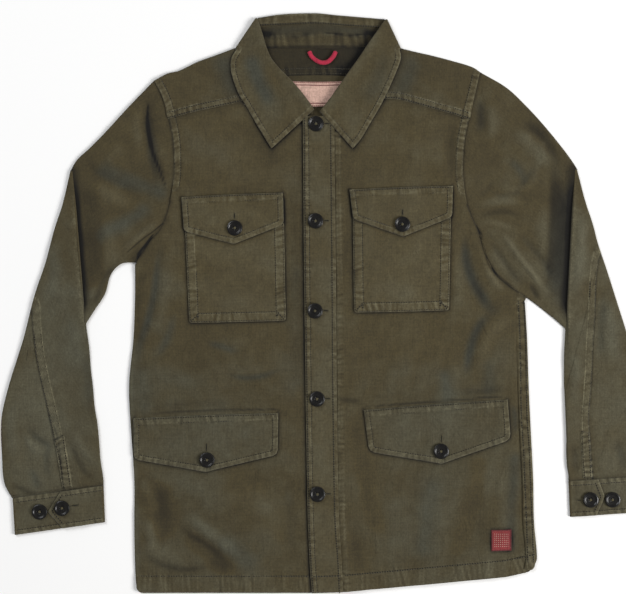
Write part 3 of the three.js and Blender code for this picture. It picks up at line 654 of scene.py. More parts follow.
def weld(mesh: bpy.types.Mesh) -> None:
    """Merges doubles, drops empty faces and turns all faces the same way.

    Args:
        mesh: the mesh that is changed.
    """
    work = bmesh.new()
    work.from_mesh(mesh)
    bmesh.ops.remove_doubles(work, verts=work.verts, dist=0.03 * MM)
    bmesh.ops.recalc_face_normals(work, faces=work.faces)
    work.to_mesh(mesh)
    work.free()


def add_object(mesh: bpy.types.Mesh, material: bpy.types.Material) -> bpy.types.Object:
    """Puts a smooth-shaded mesh in the scene, at the origin.

    Args:
        mesh: its mesh, whose name it takes.
        material: its finish.

    Returns:
        The object.
    """
    mesh.polygons.foreach_set("use_smooth", np.ones(len(mesh.polygons), bool))
    mesh.materials.append(material)
    mesh.update()
    obj = bpy.data.objects.new(mesh.name, mesh)
    bpy.context.scene.collection.objects.link(obj)
    return obj


@dataclass
class Thread:
    """The stitches of one panel: rows of short beads lying on the cloth."""

    name: str
    pitch: float = 3.3
    long: float = 2.5
    wide: float = 0.62
    shade_strip_width: float = 2.0
    places: list[Array] = field(default_factory=list)
    channels: list[Array] = field(default_factory=list)

    def ground(self, here: Array, relief: Relief | float) -> Array:
        """Heights of a relief, or of level cloth, at places."""
        return relief.at(here).height if isinstance(relief, Relief) else np.full(len(here), relief)

    def row(self, line: Array, relief: Relief | float, lift: float = 0.0) -> "Thread":
        """Adds a row of stitches along a line in plan, on the top of the cloth below it.

        Args:
            line: points in plan.
            relief: what the thread lies on, or the middle height of level cloth.
            lift: extra height above the cloth's top.

        Returns:
            This thread.
        """
        self.shade_strip(line, relief, lift)
        length = run(line)[-1]
        count = max(1, int(length / self.pitch))
        middle = (np.arange(count) + 0.5) * length / count
        here, ahead = at_length(line, middle), at_length(line, middle + 0.3)
        way = ahead - here
        way /= np.linalg.norm(way, axis=1, keepdims=True) + 1e-9
        self.beads(here, way, relief, lift)
        return self

    def shade_strip(self, line: Array, relief: Relief | float, lift: float) -> None:
        """Adds a thin strip under the beads, painted black as the shade of the groove that a row of stitches
        pulls in.

        Its section is a flat lozenge of four points, widest at the holes between two stitches.

        Args:
            line: points in plan.
            relief: what the thread lies on, or the middle height of level cloth.
            lift: extra height above the cloth's top.
        """
        count = 2 * max(1, int(run(line)[-1] / self.pitch)) + 1
        here = at_length(line, np.linspace(0, run(line)[-1], count))
        height = self.ground(here, relief)
        aside = left_of(here)
        taper = np.where(np.arange(count) % 2 == 0, 1.0, 0.35)
        section = np.array([(-0.5, 0.0), (0.0, 0.07), (0.5, 0.0), (0.0, -0.2)])
        across = section[None, :, :1] * taper[:, None, None] * self.shade_strip_width
        plan = here[:, None] + aside[:, None] * across
        z = height[:, None] + CLOTH / 2 + lift + 0.05 + section[None, :, 1]
        self.channels.append(np.dstack([plan, z]))

    def bars(self, start: Point, end: Point, relief: Relief | float, lift: float = 0.0) -> "Thread":
        """Adds close stitches square to a short line, as on a bar tack.

        Args:
            start: one end of the line.
            end: its other end.
            relief: what the thread lies on, or the middle height of level cloth.
            lift: extra height above the cloth's top.

        Returns:
            This thread.
        """
        a, b = np.array(start, float), np.array(end, float)
        length = float(np.hypot(*(b - a)))
        count = max(2, round(length / 0.75))
        here = a + (b - a) * np.linspace(0, 1, count)[:, None]
        self.beads(here, np.tile(quarter(b - a) / length, (count, 1)), relief, lift)
        return self

    def beads(self, here: Array, way: Array, relief: Relief | float, lift: float) -> None:
        """Adds beads at places: two rings of four round the thread, closed by a point at each end.

        Args:
            here: the beads' middles in plan.
            way: unit vectors along them.
            relief: what the thread lies on, or the middle height of level cloth.
            lift: extra height above the cloth's top.
        """
        height = self.ground(here, relief)
        aside = quarter(way)
        section = ((-0.5, 0.1), (0.0, 0.42), (0.5, 0.1), (0.0, -0.2))
        ring = [(a, w, h) for a in (-0.26, 0.26) for w, h in section]
        shape = np.array([(-0.5, 0.0, 0.0), *ring, (0.5, 0.0, 0.0)])
        plan = here[:, None] + way[:, None] * shape[:, 0, None] * self.long
        plan = plan + aside[:, None] * shape[:, 1, None] * self.wide
        z = height[:, None] + CLOTH / 2 + lift + 0.08 + shape[:, 2] * self.wide
        self.places.append(np.dstack([plan, z]))

    def make(self, material: bpy.types.Material) -> bpy.types.Object:
        """The stitches as one mesh, sixteen triangles to each, with the strips of painted shade below them.

        Args:
            material: its finish.

        Returns:
            The object.
        """
        beads = np.concatenate(self.places)
        ends = [(0, 2, 1), (0, 3, 2), (0, 4, 3), (0, 1, 4), (9, 5, 6), (9, 6, 7), (9, 7, 8), (9, 8, 5)]
        sides = [(1, 2, 6), (1, 6, 5), (2, 3, 7), (2, 7, 6), (3, 4, 8), (3, 8, 7), (4, 1, 5), (4, 5, 8)]
        one = np.array(ends + sides)[:, ::-1]
        corners = beads.shape[1]
        faces = (one[None] + np.arange(len(beads))[:, None, None] * corners).reshape(-1, 3).tolist()
        places, count = [beads.reshape(-1, 3)], len(beads) * corners
        for rings in self.channels:
            number = np.arange(len(rings) * 4).reshape(-1, 4) + count
            ahead = np.roll(number, -1, axis=1)
            quads = np.stack([number[:-1], ahead[:-1], ahead[1:], number[1:]], axis=-1)
            faces += quads.reshape(-1, 4).tolist() + [number[0, ::-1].tolist(), number[-1].tolist()]
            places.append(rings.reshape(-1, 3))
            count += len(rings) * 4
        mesh = bpy.data.meshes.new(self.name)
        mesh.from_pydata((np.concatenate(places) * MM).tolist(), [], faces)
        marks = np.zeros((count, 3), np.float32)
        # The strips under the stitches take the darkest tone: painted shade.
        marks[len(beads) * corners:, 0] = -1.0
        mesh.attributes.new("marks", "FLOAT_VECTOR", "POINT").data.foreach_set("vector", marks.ravel())
        return add_object(mesh, material)


def settle(obj: bpy.types.Object, slot: str, *nodes: str) -> bpy.types.Object:
    """Sets what a piece rides on and hides the solids that it stands for.

    Args:
        obj: the piece.
        slot: not used.
        nodes: the solids that it stands for.

    Returns:
        The piece.
    """
    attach(obj, "root")
    if nodes:
        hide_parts(*nodes)
    log.info("%s: %d vertices", obj.name, len(obj.data.vertices))
    return obj


# ------------------------------------------------------------------ finishes


def linear(red: int, green: int, blue: int) -> tuple[float, float, float, float]:
    """A screen colour, zero to 255, as a linear one."""
    values = [c / 255 for c in (red, green, blue)]
    return (*[v / 12.92 if v <= 0.04045 else ((v + 0.055) / 1.055) ** 2.4 for v in values], 1.0)


class Graph:
    """Short ways to add nodes and links to a material or a group."""

    def __init__(self, tree: bpy.types.NodeTree) -> None:
        """Keeps the tree that is being filled."""
        self.tree = tree

    def add(self, kind: str, inputs: dict | None = None, **settings) -> bpy.types.Node:
        """Adds a node.

        Args:
            kind: the node's type name, without its first words.
            inputs: what goes to its sockets, as sockets or values.
            settings: its own properties.

        Returns:
            The node.
        """
        node = self.tree.nodes.new("ShaderNode" + kind)
        for key, value in settings.items():
            setattr(node, key, value)
        for key, value in (inputs or {}).items():
            self.give(node.inputs[key], value)
        return node

    def give(self, socket: bpy.types.NodeSocket, value: object) -> None:
        """Links a socket to another, or sets its value.

        Args:
            socket: an input.
            value: another node's socket, or a plain value.
        """
        if isinstance(value, bpy.types.NodeSocket):
            self.tree.links.new(value, socket)
        else:
            socket.default_value = value

    def math(self, operation: str, first: object, second: object = 0.0, clamp: bool = False) -> object:
        """A sum, product or other operation on two values."""
        node = self.add("Math", {0: first, 1: second}, operation=operation, use_clamp=clamp)
        return node.outputs[0]

    def plus(self, first: object, second: object, clamp: bool = False) -> object:
        """The sum of two values."""
        return self.math("ADD", first, second, clamp)

    def less(self, first: object, second: object) -> object:
        """The first value less the second."""
        return self.math("SUBTRACT", first, second)

    def times(self, first: object, second: object, clamp: bool = False) -> object:
        """The product of two values."""
        return self.math("MULTIPLY", first, second, clamp)

    def noise(self, where: object, scale: float, detail: float, **more: float) -> object:
        """Noise at places, at a scale in turns to the metre."""
        inputs = {"Vector": where, "Scale": scale, "Detail": detail, **more}
        return self.add("TexNoise", inputs).outputs["Fac"]

    def span(self, value: object, low: float, high: float, to_low: float, to_high: float) -> object:
        """A value's range stretched to another, clamped."""
        inputs = {"Value": value, "From Min": low, "From Max": high, "To Min": to_low, "To Max": to_high}
        return self.add("MapRange", inputs).outputs["Result"]

    def mix(self, share: object, first: object, second: object) -> object:
        """A blend of two colours.

        Args:
            share: how much of the second there is.
            first: one colour.
            second: the other.

        Returns:
            The blend's socket.
        """
        node = self.add("Mix", data_type="RGBA")
        self.give(node.inputs[0], share)
        self.give(node.inputs[6], first)
        self.give(node.inputs[7], second)
        return node.outputs[2]


def weave_group() -> bpy.types.NodeTree:
    """Twill on the piece's own map: slanted ribs, uneven yarns and soft fibres.

    Ribs are a sine of the slanted distance over the rib pitch; the yarns are noise drawn out along
    the grain. It puts out a height and a shade, both about one half.

    Returns:
        The group.
    """
    group = bpy.data.node_groups.new("twill_weave", "ShaderNodeTree")
    face = group.interface
    for name, value in (("Pitch", 0.9), ("Ribs", 1.0), ("Yarns", 1.0)):
        face.new_socket(name, in_out="INPUT", socket_type="NodeSocketFloat").default_value = value
    for name in ("Height", "Shade"):
        face.new_socket(name, in_out="OUTPUT", socket_type="NodeSocketFloat")
    g = Graph(group)
    given, out = group.nodes.new("NodeGroupInput"), group.nodes.new("NodeGroupOutput")
    lay = g.add("UVMap", uv_map="cloth").outputs[0]
    parts = g.add("SeparateXYZ", {0: lay}).outputs
    slant = g.plus(g.times(parts[0], 0.78), g.times(parts[1], -0.62))
    wobble = g.noise(lay, 260.0, 1.0)
    turns = g.math("DIVIDE", g.times(slant, 2 * math.pi * 1000.0), given.outputs["Pitch"])
    rib = g.math("SINE", g.plus(turns, g.times(wobble, 5.0)))
    drawn = g.add("Mapping", {"Vector": lay, "Scale": (1.0, 0.22, 1.0)}).outputs[0]
    yarn = g.noise(drawn, 900.0, 2.0)
    fuzz = g.noise(lay, 1500.0, 2.0)
    ribs = g.times(g.times(rib, 0.18), given.outputs["Ribs"])
    yarns = g.times(g.less(yarn, 0.5), given.outputs["Yarns"])
    rough = g.less(fuzz, 0.5)
    height = g.plus(g.plus(ribs, yarns), g.plus(rough, 0.5))
    shade = g.plus(g.times(g.plus(ribs, rough), 0.6), g.plus(yarns, 0.5))
    g.give(out.inputs["Height"], height)
    g.give(out.inputs["Shade"], shade)
    return group


def wash_group() -> bpy.types.NodeTree:
    """Garment wash: cloudy fading at two scales, and paler specks where a fold has rubbed.

    It puts out a cloud and a rub mask, both zero to one, the grain of the dye about one, and a
    height for the slack of washed cloth, all from noise on object coordinates.

    Returns:
        The group.
    """
    group = bpy.data.node_groups.new("garment_wash", "ShaderNodeTree")
    group.interface.new_socket("Grain", in_out="INPUT", socket_type="NodeSocketFloat").default_value = 1.0
    for name in ("Cloud", "Rub", "Dye", "Slack"):
        group.interface.new_socket(name, in_out="OUTPUT", socket_type="NodeSocketFloat")
    g = Graph(group)
    given, out = group.nodes.new("NodeGroupInput"), group.nodes.new("NodeGroupOutput")
    here = g.add("TexCoord").outputs["Object"]
    big = g.noise(here, 14.0, 3.0, Distortion=0.6)
    mid = g.noise(here, 75.0, 4.0, Roughness=0.6)
    small = g.noise(here, 420.0, 3.0, Roughness=0.7)
    cloud = g.plus(g.times(big, 0.55), g.times(mid, 0.45))
    speck = g.times(g.less(small, 0.5), given.outputs["Grain"])
    g.give(out.inputs["Cloud"], g.span(g.plus(cloud, g.times(speck, 0.5)), 0.3, 0.7, 0.0, 1.0))
    g.give(out.inputs["Rub"], g.span(g.plus(mid, speck), 0.38, 0.66, 0.0, 1.0))
    lay = g.add("UVMap", uv_map="cloth").outputs[0]
    warp = g.add("Mapping", {"Vector": lay, "Scale": (1.0, 0.05, 1.0)}).outputs[0]
    weft = g.add("Mapping", {"Vector": lay, "Scale": (0.07, 1.0, 1.0)}).outputs[0]
    slub = g.noise(warp, 560.0, 2.0)
    pick = g.noise(weft, 480.0, 2.0)
    streaks = g.plus(g.times(slub, 0.46), g.times(pick, 0.36))
    grain = g.plus(g.times(small, 0.8), g.times(mid, 0.34))
    g.give(out.inputs["Dye"], g.plus(g.plus(streaks, grain), 0.02))
    ripple = g.noise(here, 30.0, 2.0, Distortion=1.1)
    crease = g.span(g.math("ABSOLUTE", g.less(ripple, 0.5)), 0.0, 0.07, 0.0, 1.0)
    slack = g.plus(g.times(ripple, 1.3), g.times(mid, 0.5))
    g.give(out.inputs["Slack"], g.plus(slack, g.times(crease, g.times(big, 0.22))))
    return group


@dataclass(frozen=True)
class ClothFinish:
    """Dyed and washed cloth whose colour follows the marks of its relief, painted shade and highlight among
    them.
    """

    name: str
    warm: tuple[int, int, int]
    # The cool colour is reached partly through painted sheen; worn serves real wear and painted highlight;
    # deep is the colour of painted shade.
    cool: tuple[int, int, int]
    worn: tuple[int, int, int]
    deep: tuple[int, int, int]
    pitch: float = 0.9
    bump: float = 0.5
    mottle: float = 0.5
    roughness: float = 0.92
    sheen: float = 0.08
    slack: float = 0.5

    def make(self, weave: bpy.types.NodeTree, wash: bpy.types.NodeTree) -> bpy.types.Material:
        """The material: two colours by place, paler where worn, with painted shade in the hollows and painted
        highlights.

        Args:
            weave: the twill group.
            wash: the wash group.

        Returns:
            The material.
        """
        material = bpy.data.materials.new(self.name)
        material.use_nodes = True
        g = Graph(material.node_tree)
        shader = material.node_tree.nodes["Principled BSDF"]
        twill = g.add("Group", node_tree=weave)
        twill.inputs["Pitch"].default_value = self.pitch
        washed = g.add("Group", node_tree=wash)
        given = g.add("Attribute", attribute_name="marks").outputs["Vector"]
        marks = g.add("SeparateXYZ", {0: given}).outputs
        cloud = washed.outputs["Cloud"]
        # The cool mark, partly painted sheen, and the wash's cloud, real mottling, lean the colour towards
        # the cool one.
        lean = g.plus(marks[1], g.times(g.less(cloud, 0.5), self.mottle), clamp=True)
        colour = g.mix(lean, linear(*self.warm), linear(*self.cool))
        rub = g.times(marks[2], g.plus(g.times(washed.outputs["Rub"], 0.75), 0.4), clamp=True)
        colour = g.mix(rub, colour, linear(*self.worn))
        # A tone below zero leans towards the deep colour, painted shade; above zero, towards the worn one,
        # painted highlight.
        colour = g.mix(g.times(marks[0], -1.0, clamp=True), colour, linear(*self.deep))
        colour = g.mix(g.times(marks[0], 0.6, clamp=True), colour, linear(*self.worn))
        shade = g.span(twill.outputs["Shade"], 0.1, 0.9, 0.80, 1.20)
        shade = g.times(shade, g.span(cloud, 0.0, 1.0, 0.91, 1.09))
        shade = g.times(shade, washed.outputs["Dye"])
        scaled = g.add("VectorMath", {0: colour}, operation="SCALE")
        g.give(scaled.inputs["Scale"], shade)
        g.give(shader.inputs["Base Color"], scaled.outputs[0])
        rough = g.span(cloud, 0.0, 1.0, self.roughness - 0.05, self.roughness + 0.05)
        g.give(shader.inputs["Roughness"], rough)
        slack = g.add("Bump", {"Height": washed.outputs["Slack"], "Strength": self.slack, "Distance": 0.004})
        bump = g.add("Bump", {"Height": twill.outputs["Height"], "Strength": self.bump, "Distance": 0.0003})
        g.give(bump.inputs["Normal"], slack.outputs[0])
        g.give(shader.inputs["Normal"], bump.outputs[0])
        shader.inputs["Specular IOR Level"].default_value = 0.25
        shader.inputs["Sheen Weight"].default_value = self.sheen
        shader.inputs["Sheen Roughness"].default_value = 0.6
        return material


@dataclass(frozen=True)
class HornFinish:
    """Black moulded horn, glossy, with faint streaks and fine scratches."""

    name: str = "button_horn"

    def make(self) -> bpy.types.Material:
        """The material, on object coordinates.

        Returns:
            The material.
        """
        material = bpy.data.materials.new(self.name)
        material.use_nodes = True
        g = Graph(material.node_tree)
        shader = material.node_tree.nodes["Principled BSDF"]
        here = g.add("TexCoord").outputs["Object"]
        drawn = g.add("Mapping", {"Vector": here, "Scale": (1.0, 0.35, 1.0)}).outputs[0]
        streak = g.noise(drawn, 240.0, 4.0)
        colour = g.mix(g.span(streak, 0.4, 0.75, 0.0, 1.0), linear(7, 6, 6), linear(20, 18, 15))
        g.give(shader.inputs["Base Color"], colour)
        scratch = g.noise(here, 1400.0, 3.0)
        g.give(shader.inputs["Roughness"], g.span(scratch, 0.35, 0.7, 0.2, 0.38))
        bump = g.add("Bump", {"Height": scratch, "Strength": 0.12, "Distance": 0.0001})
        g.give(shader.inputs["Normal"], bump.outputs[0])
        shader.inputs["Specular IOR Level"].default_value = 0.36
        return material


TWILL = ClothFinish("olive_twill", (67, 59, 37), (62, 62, 51), (108, 103, 81), (12, 10, 7))
# The colour of painted shade, for the buttonhole slits.
TWILL_SHADOW = ClothFinish("olive_twill_painted_shade", (38, 33, 23), (38, 36, 28), (60, 55, 42), (10, 9, 6))
SEWING = ClothFinish(
    "olive_thread", (80, 74, 52), (78, 75, 58), (92, 88, 70), (17, 14, 9), pitch=0.5, bump=0.25, mottle=0.2
)
LABEL_WEAVE = ClothFinish(
    "salmon_label", (192, 158, 143), (186, 153, 141), (204, 174, 162), (128, 76, 70), 0.5, 0.3, 0.3, 0.7
)
LABEL_BORDER = ClothFinish(
    "label_border", (112, 40, 44), (106, 38, 42), (140, 66, 66), (52, 16, 20), 0.5, 0.3, 0.3, 0.7
)
RED_WEAVE = ClothFinish(
    "red_patch", (122, 44, 45), (116, 42, 45), (158, 88, 82), (36, 14, 14), 0.55, 0.4, 0.4, 0.8
)
RED_CORD = ClothFinish(
    "red_cord", (164, 34, 60), (152, 32, 58), (182, 66, 84), (70, 12, 26), 0.6, 0.4, 0.3, 0.75
)


@dataclass
class Dyes:
    """Every material of the jacket, made once."""

    twill: bpy.types.Material
    # inside holds the painted shade of the buttonhole slits.
    inside: bpy.types.Material
    sewing: bpy.types.Material
    label: bpy.types.Material
    border: bpy.types.Material
    red: bpy.types.Material
    cord: bpy.types.Material
    horn: bpy.types.Material

    @classmethod
    def mix(cls) -> "Dyes":
        """Builds the shared groups and the materials that use them.

        Returns:
            All of them.
        """
        weave, wash = weave_group(), wash_group()
        cloths = (TWILL, TWILL_SHADOW, SEWING, LABEL_WEAVE, LABEL_BORDER, RED_WEAVE, RED_CORD)
        return cls(*[finish.make(weave, wash) for finish in cloths], HornFinish().make())


# ------------------------------------------------------------------ sizes of the jacket

# The body's outline from the hem to the armpit, and the armholes from there up to the shoulder.
SIDES: dict[Side, list[Point]] = {
    Side.RIGHT: [(-241, -440), (-243, -405), (-244, -350), (-244, -290), (-248, -230), (-251, -165),
                 (-245, -100), (-243, -45), (-243, -2)],
    Side.LEFT: [(288, -411), (291, -393), (287, -345), (286, -290), (283, -230), (280, -165),
                (278, -105), (276, -70), (274.3, -45)],
}
ARMHOLES: dict[Side, list[Point]] = {
    Side.RIGHT: [(-243, -1), (-233, 14), (-222, 30), (-208, 48), (-197, 80), (-192, 120), (-193, 160),
                 (-200, 197), (-207, 219), (-218, 241)],
    Side.LEFT: [(274, -44), (250, -28), (228, -6), (217, 32), (199, 76), (193, 118), (195, 160),
                (202, 196), (208, 219), (216, 252)],
}
ARM_STRIP_END = {Side.RIGHT: (-194.0, 103.0), Side.LEFT: (195.5, 98.0)}  # below, the sleeve hides it
ROUNDED = (1, 11)  # a panel's outline turns sharply only at these points
YOKE_ROW = 7  # the armhole's point where the yoke seam meets it
HEM_LOW = -440.0  # height of the hem's lowest part
SIDE_LENGTH = 634.0  # from the hem to the yoke seam, up the side
BACK_TURN_TOP = -50.0  # below, the back comes round the left side
SUNK = 1.3  # how far cloth sinks where another piece lies over its edge
HEM: list[Point] = [(-241, -440), (0, -440), (34, -439), (150, -428.5), (250, -419), (288, -411)]
BAND_EDGE: list[Point] = [(-8, -440), (-11, -400), (-13.5, -340), (-16, -200), (-18.5, 0), (-20, 194)]
BAND_SEAM: list[Point] = [(34, -440), (32, -400), (28, -340), (25.5, -200), (24, 0), (22, 194)]
SHOULDERS: dict[Side, list[Point]] = {
    Side.RIGHT: [(-218, 241), (-200, 250.5), (-185, 254), (-160, 266), (-135, 275), (-110, 284.5)],
    Side.LEFT: [(216, 252), (205, 259), (175, 268), (150, 274.5), (130, 279), (110, 284)],
}
YOKE_SEAMS: dict[Side, list[Point]] = {
    Side.RIGHT: [(-200, 197), (-179, 202.5), (-158, 208), (-131, 213.5), (-105, 219), (-84, 223)],
    Side.LEFT: [(202, 196), (180, 203), (158, 209), (132, 216.5), (106, 223), (84, 224)],
}
NECKLINES: dict[Side, list[Point]] = {
    Side.RIGHT: [(-84, 223), (-60, 208), (-34, 200), (-8, 196), (18, 191)],
    Side.LEFT: [(84, 224), (66, 212), (48, 204), (34, 198), (22, 194)],
}
NECK_SIDES: dict[Side, list[Point]] = {
    Side.RIGHT: [(-84, 223), (-93, 243), (-99, 263), (-110, 284.5)],
    Side.LEFT: [(84, 224), (93, 243), (99, 263), (110, 284)],
}
SIDE_SEAM: list[Point] = [(268, -100), (269, -150), (270, -205), (273, -250), (275, -300), (277, -350)]
PATCH_OUTLINE: list[Point] = [(230, -385), (257.5, -384), (257.5, -355.5), (230, -356), (230, -385)]
BACK_ROW: list[Point] = [(-55, 249), (0, 251), (55, 249)]  # stitches of the back yoke seam
UNDER_BAND = 18.0  # where the right front's edge lies, under the band
BAND_FADE = 36.0  # how far the band's lift reaches into the left front
NECK_SEAM = 283.5
FLOOR_SEAM = (250.0, 219.0)  # back yoke seam: height at its middle and at its ends


def along(line: Sequence[Point], key: Array, axis: int = 1) -> Array:
    """The other coordinate of a line at values of one, by straight lines between its points."""
    table = np.asarray(sorted(line, key=lambda p: p[axis]), float)
    return np.interp(key, table[:, axis], table[:, 1 - axis])


def band_lift(places: Array) -> Array:
    """How much the band raises what is round it: fully on the band, fading into the left front."""
    return STEP * smooth((along(BAND_SEAM, places[:, 1]) + BAND_FADE - places[:, 0]) / BAND_FADE)


# ------------------------------------------------------------------ folds

# In the tables below, the tone of folds and tints is painted shade below zero and painted highlight above it,
# creases are painted shade, and the cool of folds and tints is painted cool sheen, mixed in the tints with
# the dye's own patches.
BODY_FOLDS: dict[Side, list[Fold]] = {
    Side.RIGHT: [
        Fold([(-206, 40), (-213, 5), (-218, -40), (-226, -75), (-238, -112), (-240, -160)],
             6, -1.2, -0.12, 0.9),
        Fold([(-222, 20), (-230, -30), (-238, -80)], 6, 0.9, -0.06, -0.6),
        Fold([(-196, 20), (-203, -20), (-207, -60), (-216, -110)], 9, 0.8, 0.10, 0.3),
        Fold([(-240, -290), (-222, -310), (-214, -340)], 7, 0.8, 0.22, 0.3),
        Fold([(-225, -335), (-222, -362), (-220, -392)], 6, 0.6, 0.18, 0.3),
        Fold([(-215, -285), (-208, -330), (-200, -372)], 14, -1.1, -0.16, -0.6, ends=0.3),
        Fold([(-196, -340), (-178, -358), (-150, -374), (-128, -392), (-108, -408)], 5, -1.3, -0.26, -0.3),
        Fold([(-182, -334), (-150, -354), (-118, -380), (-96, -402)], 7, 1.3, 0.18, 0.5),
        Fold([(-150, -396), (-134, -404), (-116, -412)], 8, -0.8, -0.16, -0.6),
        Fold([(-236, -384), (-215, -400), (-180, -409), (-138, -405)], 4, -1.0, -0.24, 0.0),
        Fold([(-234, -376), (-205, -388), (-172, -394)], 7, 0.7, 0.10, 0.1),
        Crease([(-240, -204), (-190, -200), (-120, -197), (-50, -196)], 1.5, 0.3, -0.6),
        Fold([(-228, -194), (-170, -189), (-100, -187)], 5, -0.6, -0.10, 0.0),
        Fold([(-228, -130), (-205, -150), (-160, -160), (-130, -158)], 12, 0.7, 0.05, 0.3),
        Fold([(-154, -106), (-130, -112), (-102, -122)], 4.5, -0.7, -0.08, 0.7),
        Fold([(-128, -147), (-100, -154), (-72, -151), (-44, -140)], 4, -0.8, -0.13, 0.6),
        Fold([(-126, -138), (-98, -144), (-66, -139)], 5, 0.7, 0.08, 0.2),
        Fold([(-190, -60), (-200, -100), (-220, -135)], 6, -0.6, -0.06, 0.6),
        Fold([(-60, -110), (-40, -160), (-36, -200)], 12, 0.7, 0.06, 0.3),
        Fold([(-30, 130), (-34, 60), (-30, 0), (-34, -60)], 8, -0.7, -0.08, 0.1),
        Fold([(-180, 180), (-150, 150), (-100, 130)], 16, 0.8, 0.05, 0.2),
        Fold([(-120, 190), (-80, 160), (-45, 110)], 14, -0.6, -0.06, 0.1),
        Fold([(-90, -300), (-70, -340), (-60, -400)], 14, 0.7, 0.05, 0.2),
        Fold([(-40, -280), (-38, -340), (-34, -400)], 8, -0.6, -0.08, 0.1),
    ],
    Side.LEFT: [
        Fold([(205, 52), (196, 20), (201, -13), (217, -44), (234, -64), (250, -52)], 7, -1.6, -0.28, 0.9),
        Fold([(240, -66), (219, -79), (206, -104), (199, -135), (196, -160)], 6, -1.3, -0.22, 0.9),
        Fold([(214, 28), (223, 2), (236, -28), (254, -42)], 4.5, 1.6, 0.26, 0.0),
        Fold([(262, -66), (240, -84), (222, -112), (214, -150)], 8, 1.0, 0.12, 0.0),
        Fold([(184, 40), (184, 0), (190, -50)], 9, 0.8, 0.08, 0.0),
        Fold([(222, -120), (228, -150), (224, -190)], 10, -0.5, -0.05, 0.4),
        Fold([(180, 190), (177, 150), (180, 100)], 8, -1.2, -0.18, 0.0),
        Fold([(165, 186), (160, 150), (163, 112)], 8, 0.7, 0.08, 0.2),
        Crease([(60, -193), (110, -189), (180, -184), (254, -178)], 1.5, 0.3, -0.6),
        Fold([(18, -181), (40, -184), (62, -187)], 3.5, -0.8, -0.22, 0.0),
        Fold([(170, -176), (220, -171), (262, -168)], 5, -0.8, -0.14, 0.1),
        Fold([(258, -186), (262, -205), (262, -232)], 4, -0.7, -0.16, 0.4),
        Fold([(60, -120), (110, -140), (180, -140), (240, -120)], 16, 0.7, 0.05, 0.2),
        Fold([(40, 130), (44, 60), (40, 0), (40, -60)], 9, -0.6, -0.07, 0.0),
        Fold([(70, 190), (110, 160), (150, 130)], 16, 0.7, 0.05, 0.2),
        Fold([(90, -300), (110, -340), (120, -400)], 16, 0.7, 0.05, 0.2),
        Fold([(200, -290), (215, -340), (214, -390)], 12, -0.6, -0.08, 0.0),
        Fold([(250, -270), (246, -320), (252, -370)], 9, 0.8, 0.10, 0.2),
        Fold([(44, -330), (52, -370), (50, -410)], 8, -0.5, -0.08, 0.0),
    ],
}
BODY_TINTS: dict[Side, list[Tint]] = {
    Side.RIGHT: [
        Tint([(-212, -306), (-204, -350)], 14, -0.22, -0.7),
        Tint([(-168, -372), (-140, -392), (-118, -408)], 9, -0.22, -0.7),
        Tint([(-118, -378), (-92, -398)], 14, 0.04, 0.6),
        Tint([(-240, -100), (-242, -20)], 7, -0.25, -0.5),
        Tint([(-236, -150), (-232, -190)], 14, 0.04, 0.5),
        Tint([(-30, -20), (-28, -160)], 12, -0.05, 0.35),
        Tint([(-110, -300), (-60, -350)], 22, 0.0, -0.3),
    ],
    Side.LEFT: [
        Tint([(52, -225), (60, -270), (72, -330), (80, -352)], 9, -0.16, -0.7),
        Tint([(46, -374), (58, -404)], 8, -0.14, -0.6),
        Tint([(262, -262), (258, -320), (256, -378)], 8, -0.20, 0.6),
        Tint([(214, -270), (206, -330), (186, -380)], 9, -0.06, -0.5),
        Tint([(150, -300), (140, -380)], 14, 0.03, 0.5),
        Tint([(220, 70), (206, 30)], 12, 0.05, -0.3),
        Tint([(120, -110), (180, -130)], 20, -0.04, -0.25),
        Tint([(168, -150), (172, -176)], 8, -0.05, 0.6),
    ],
}
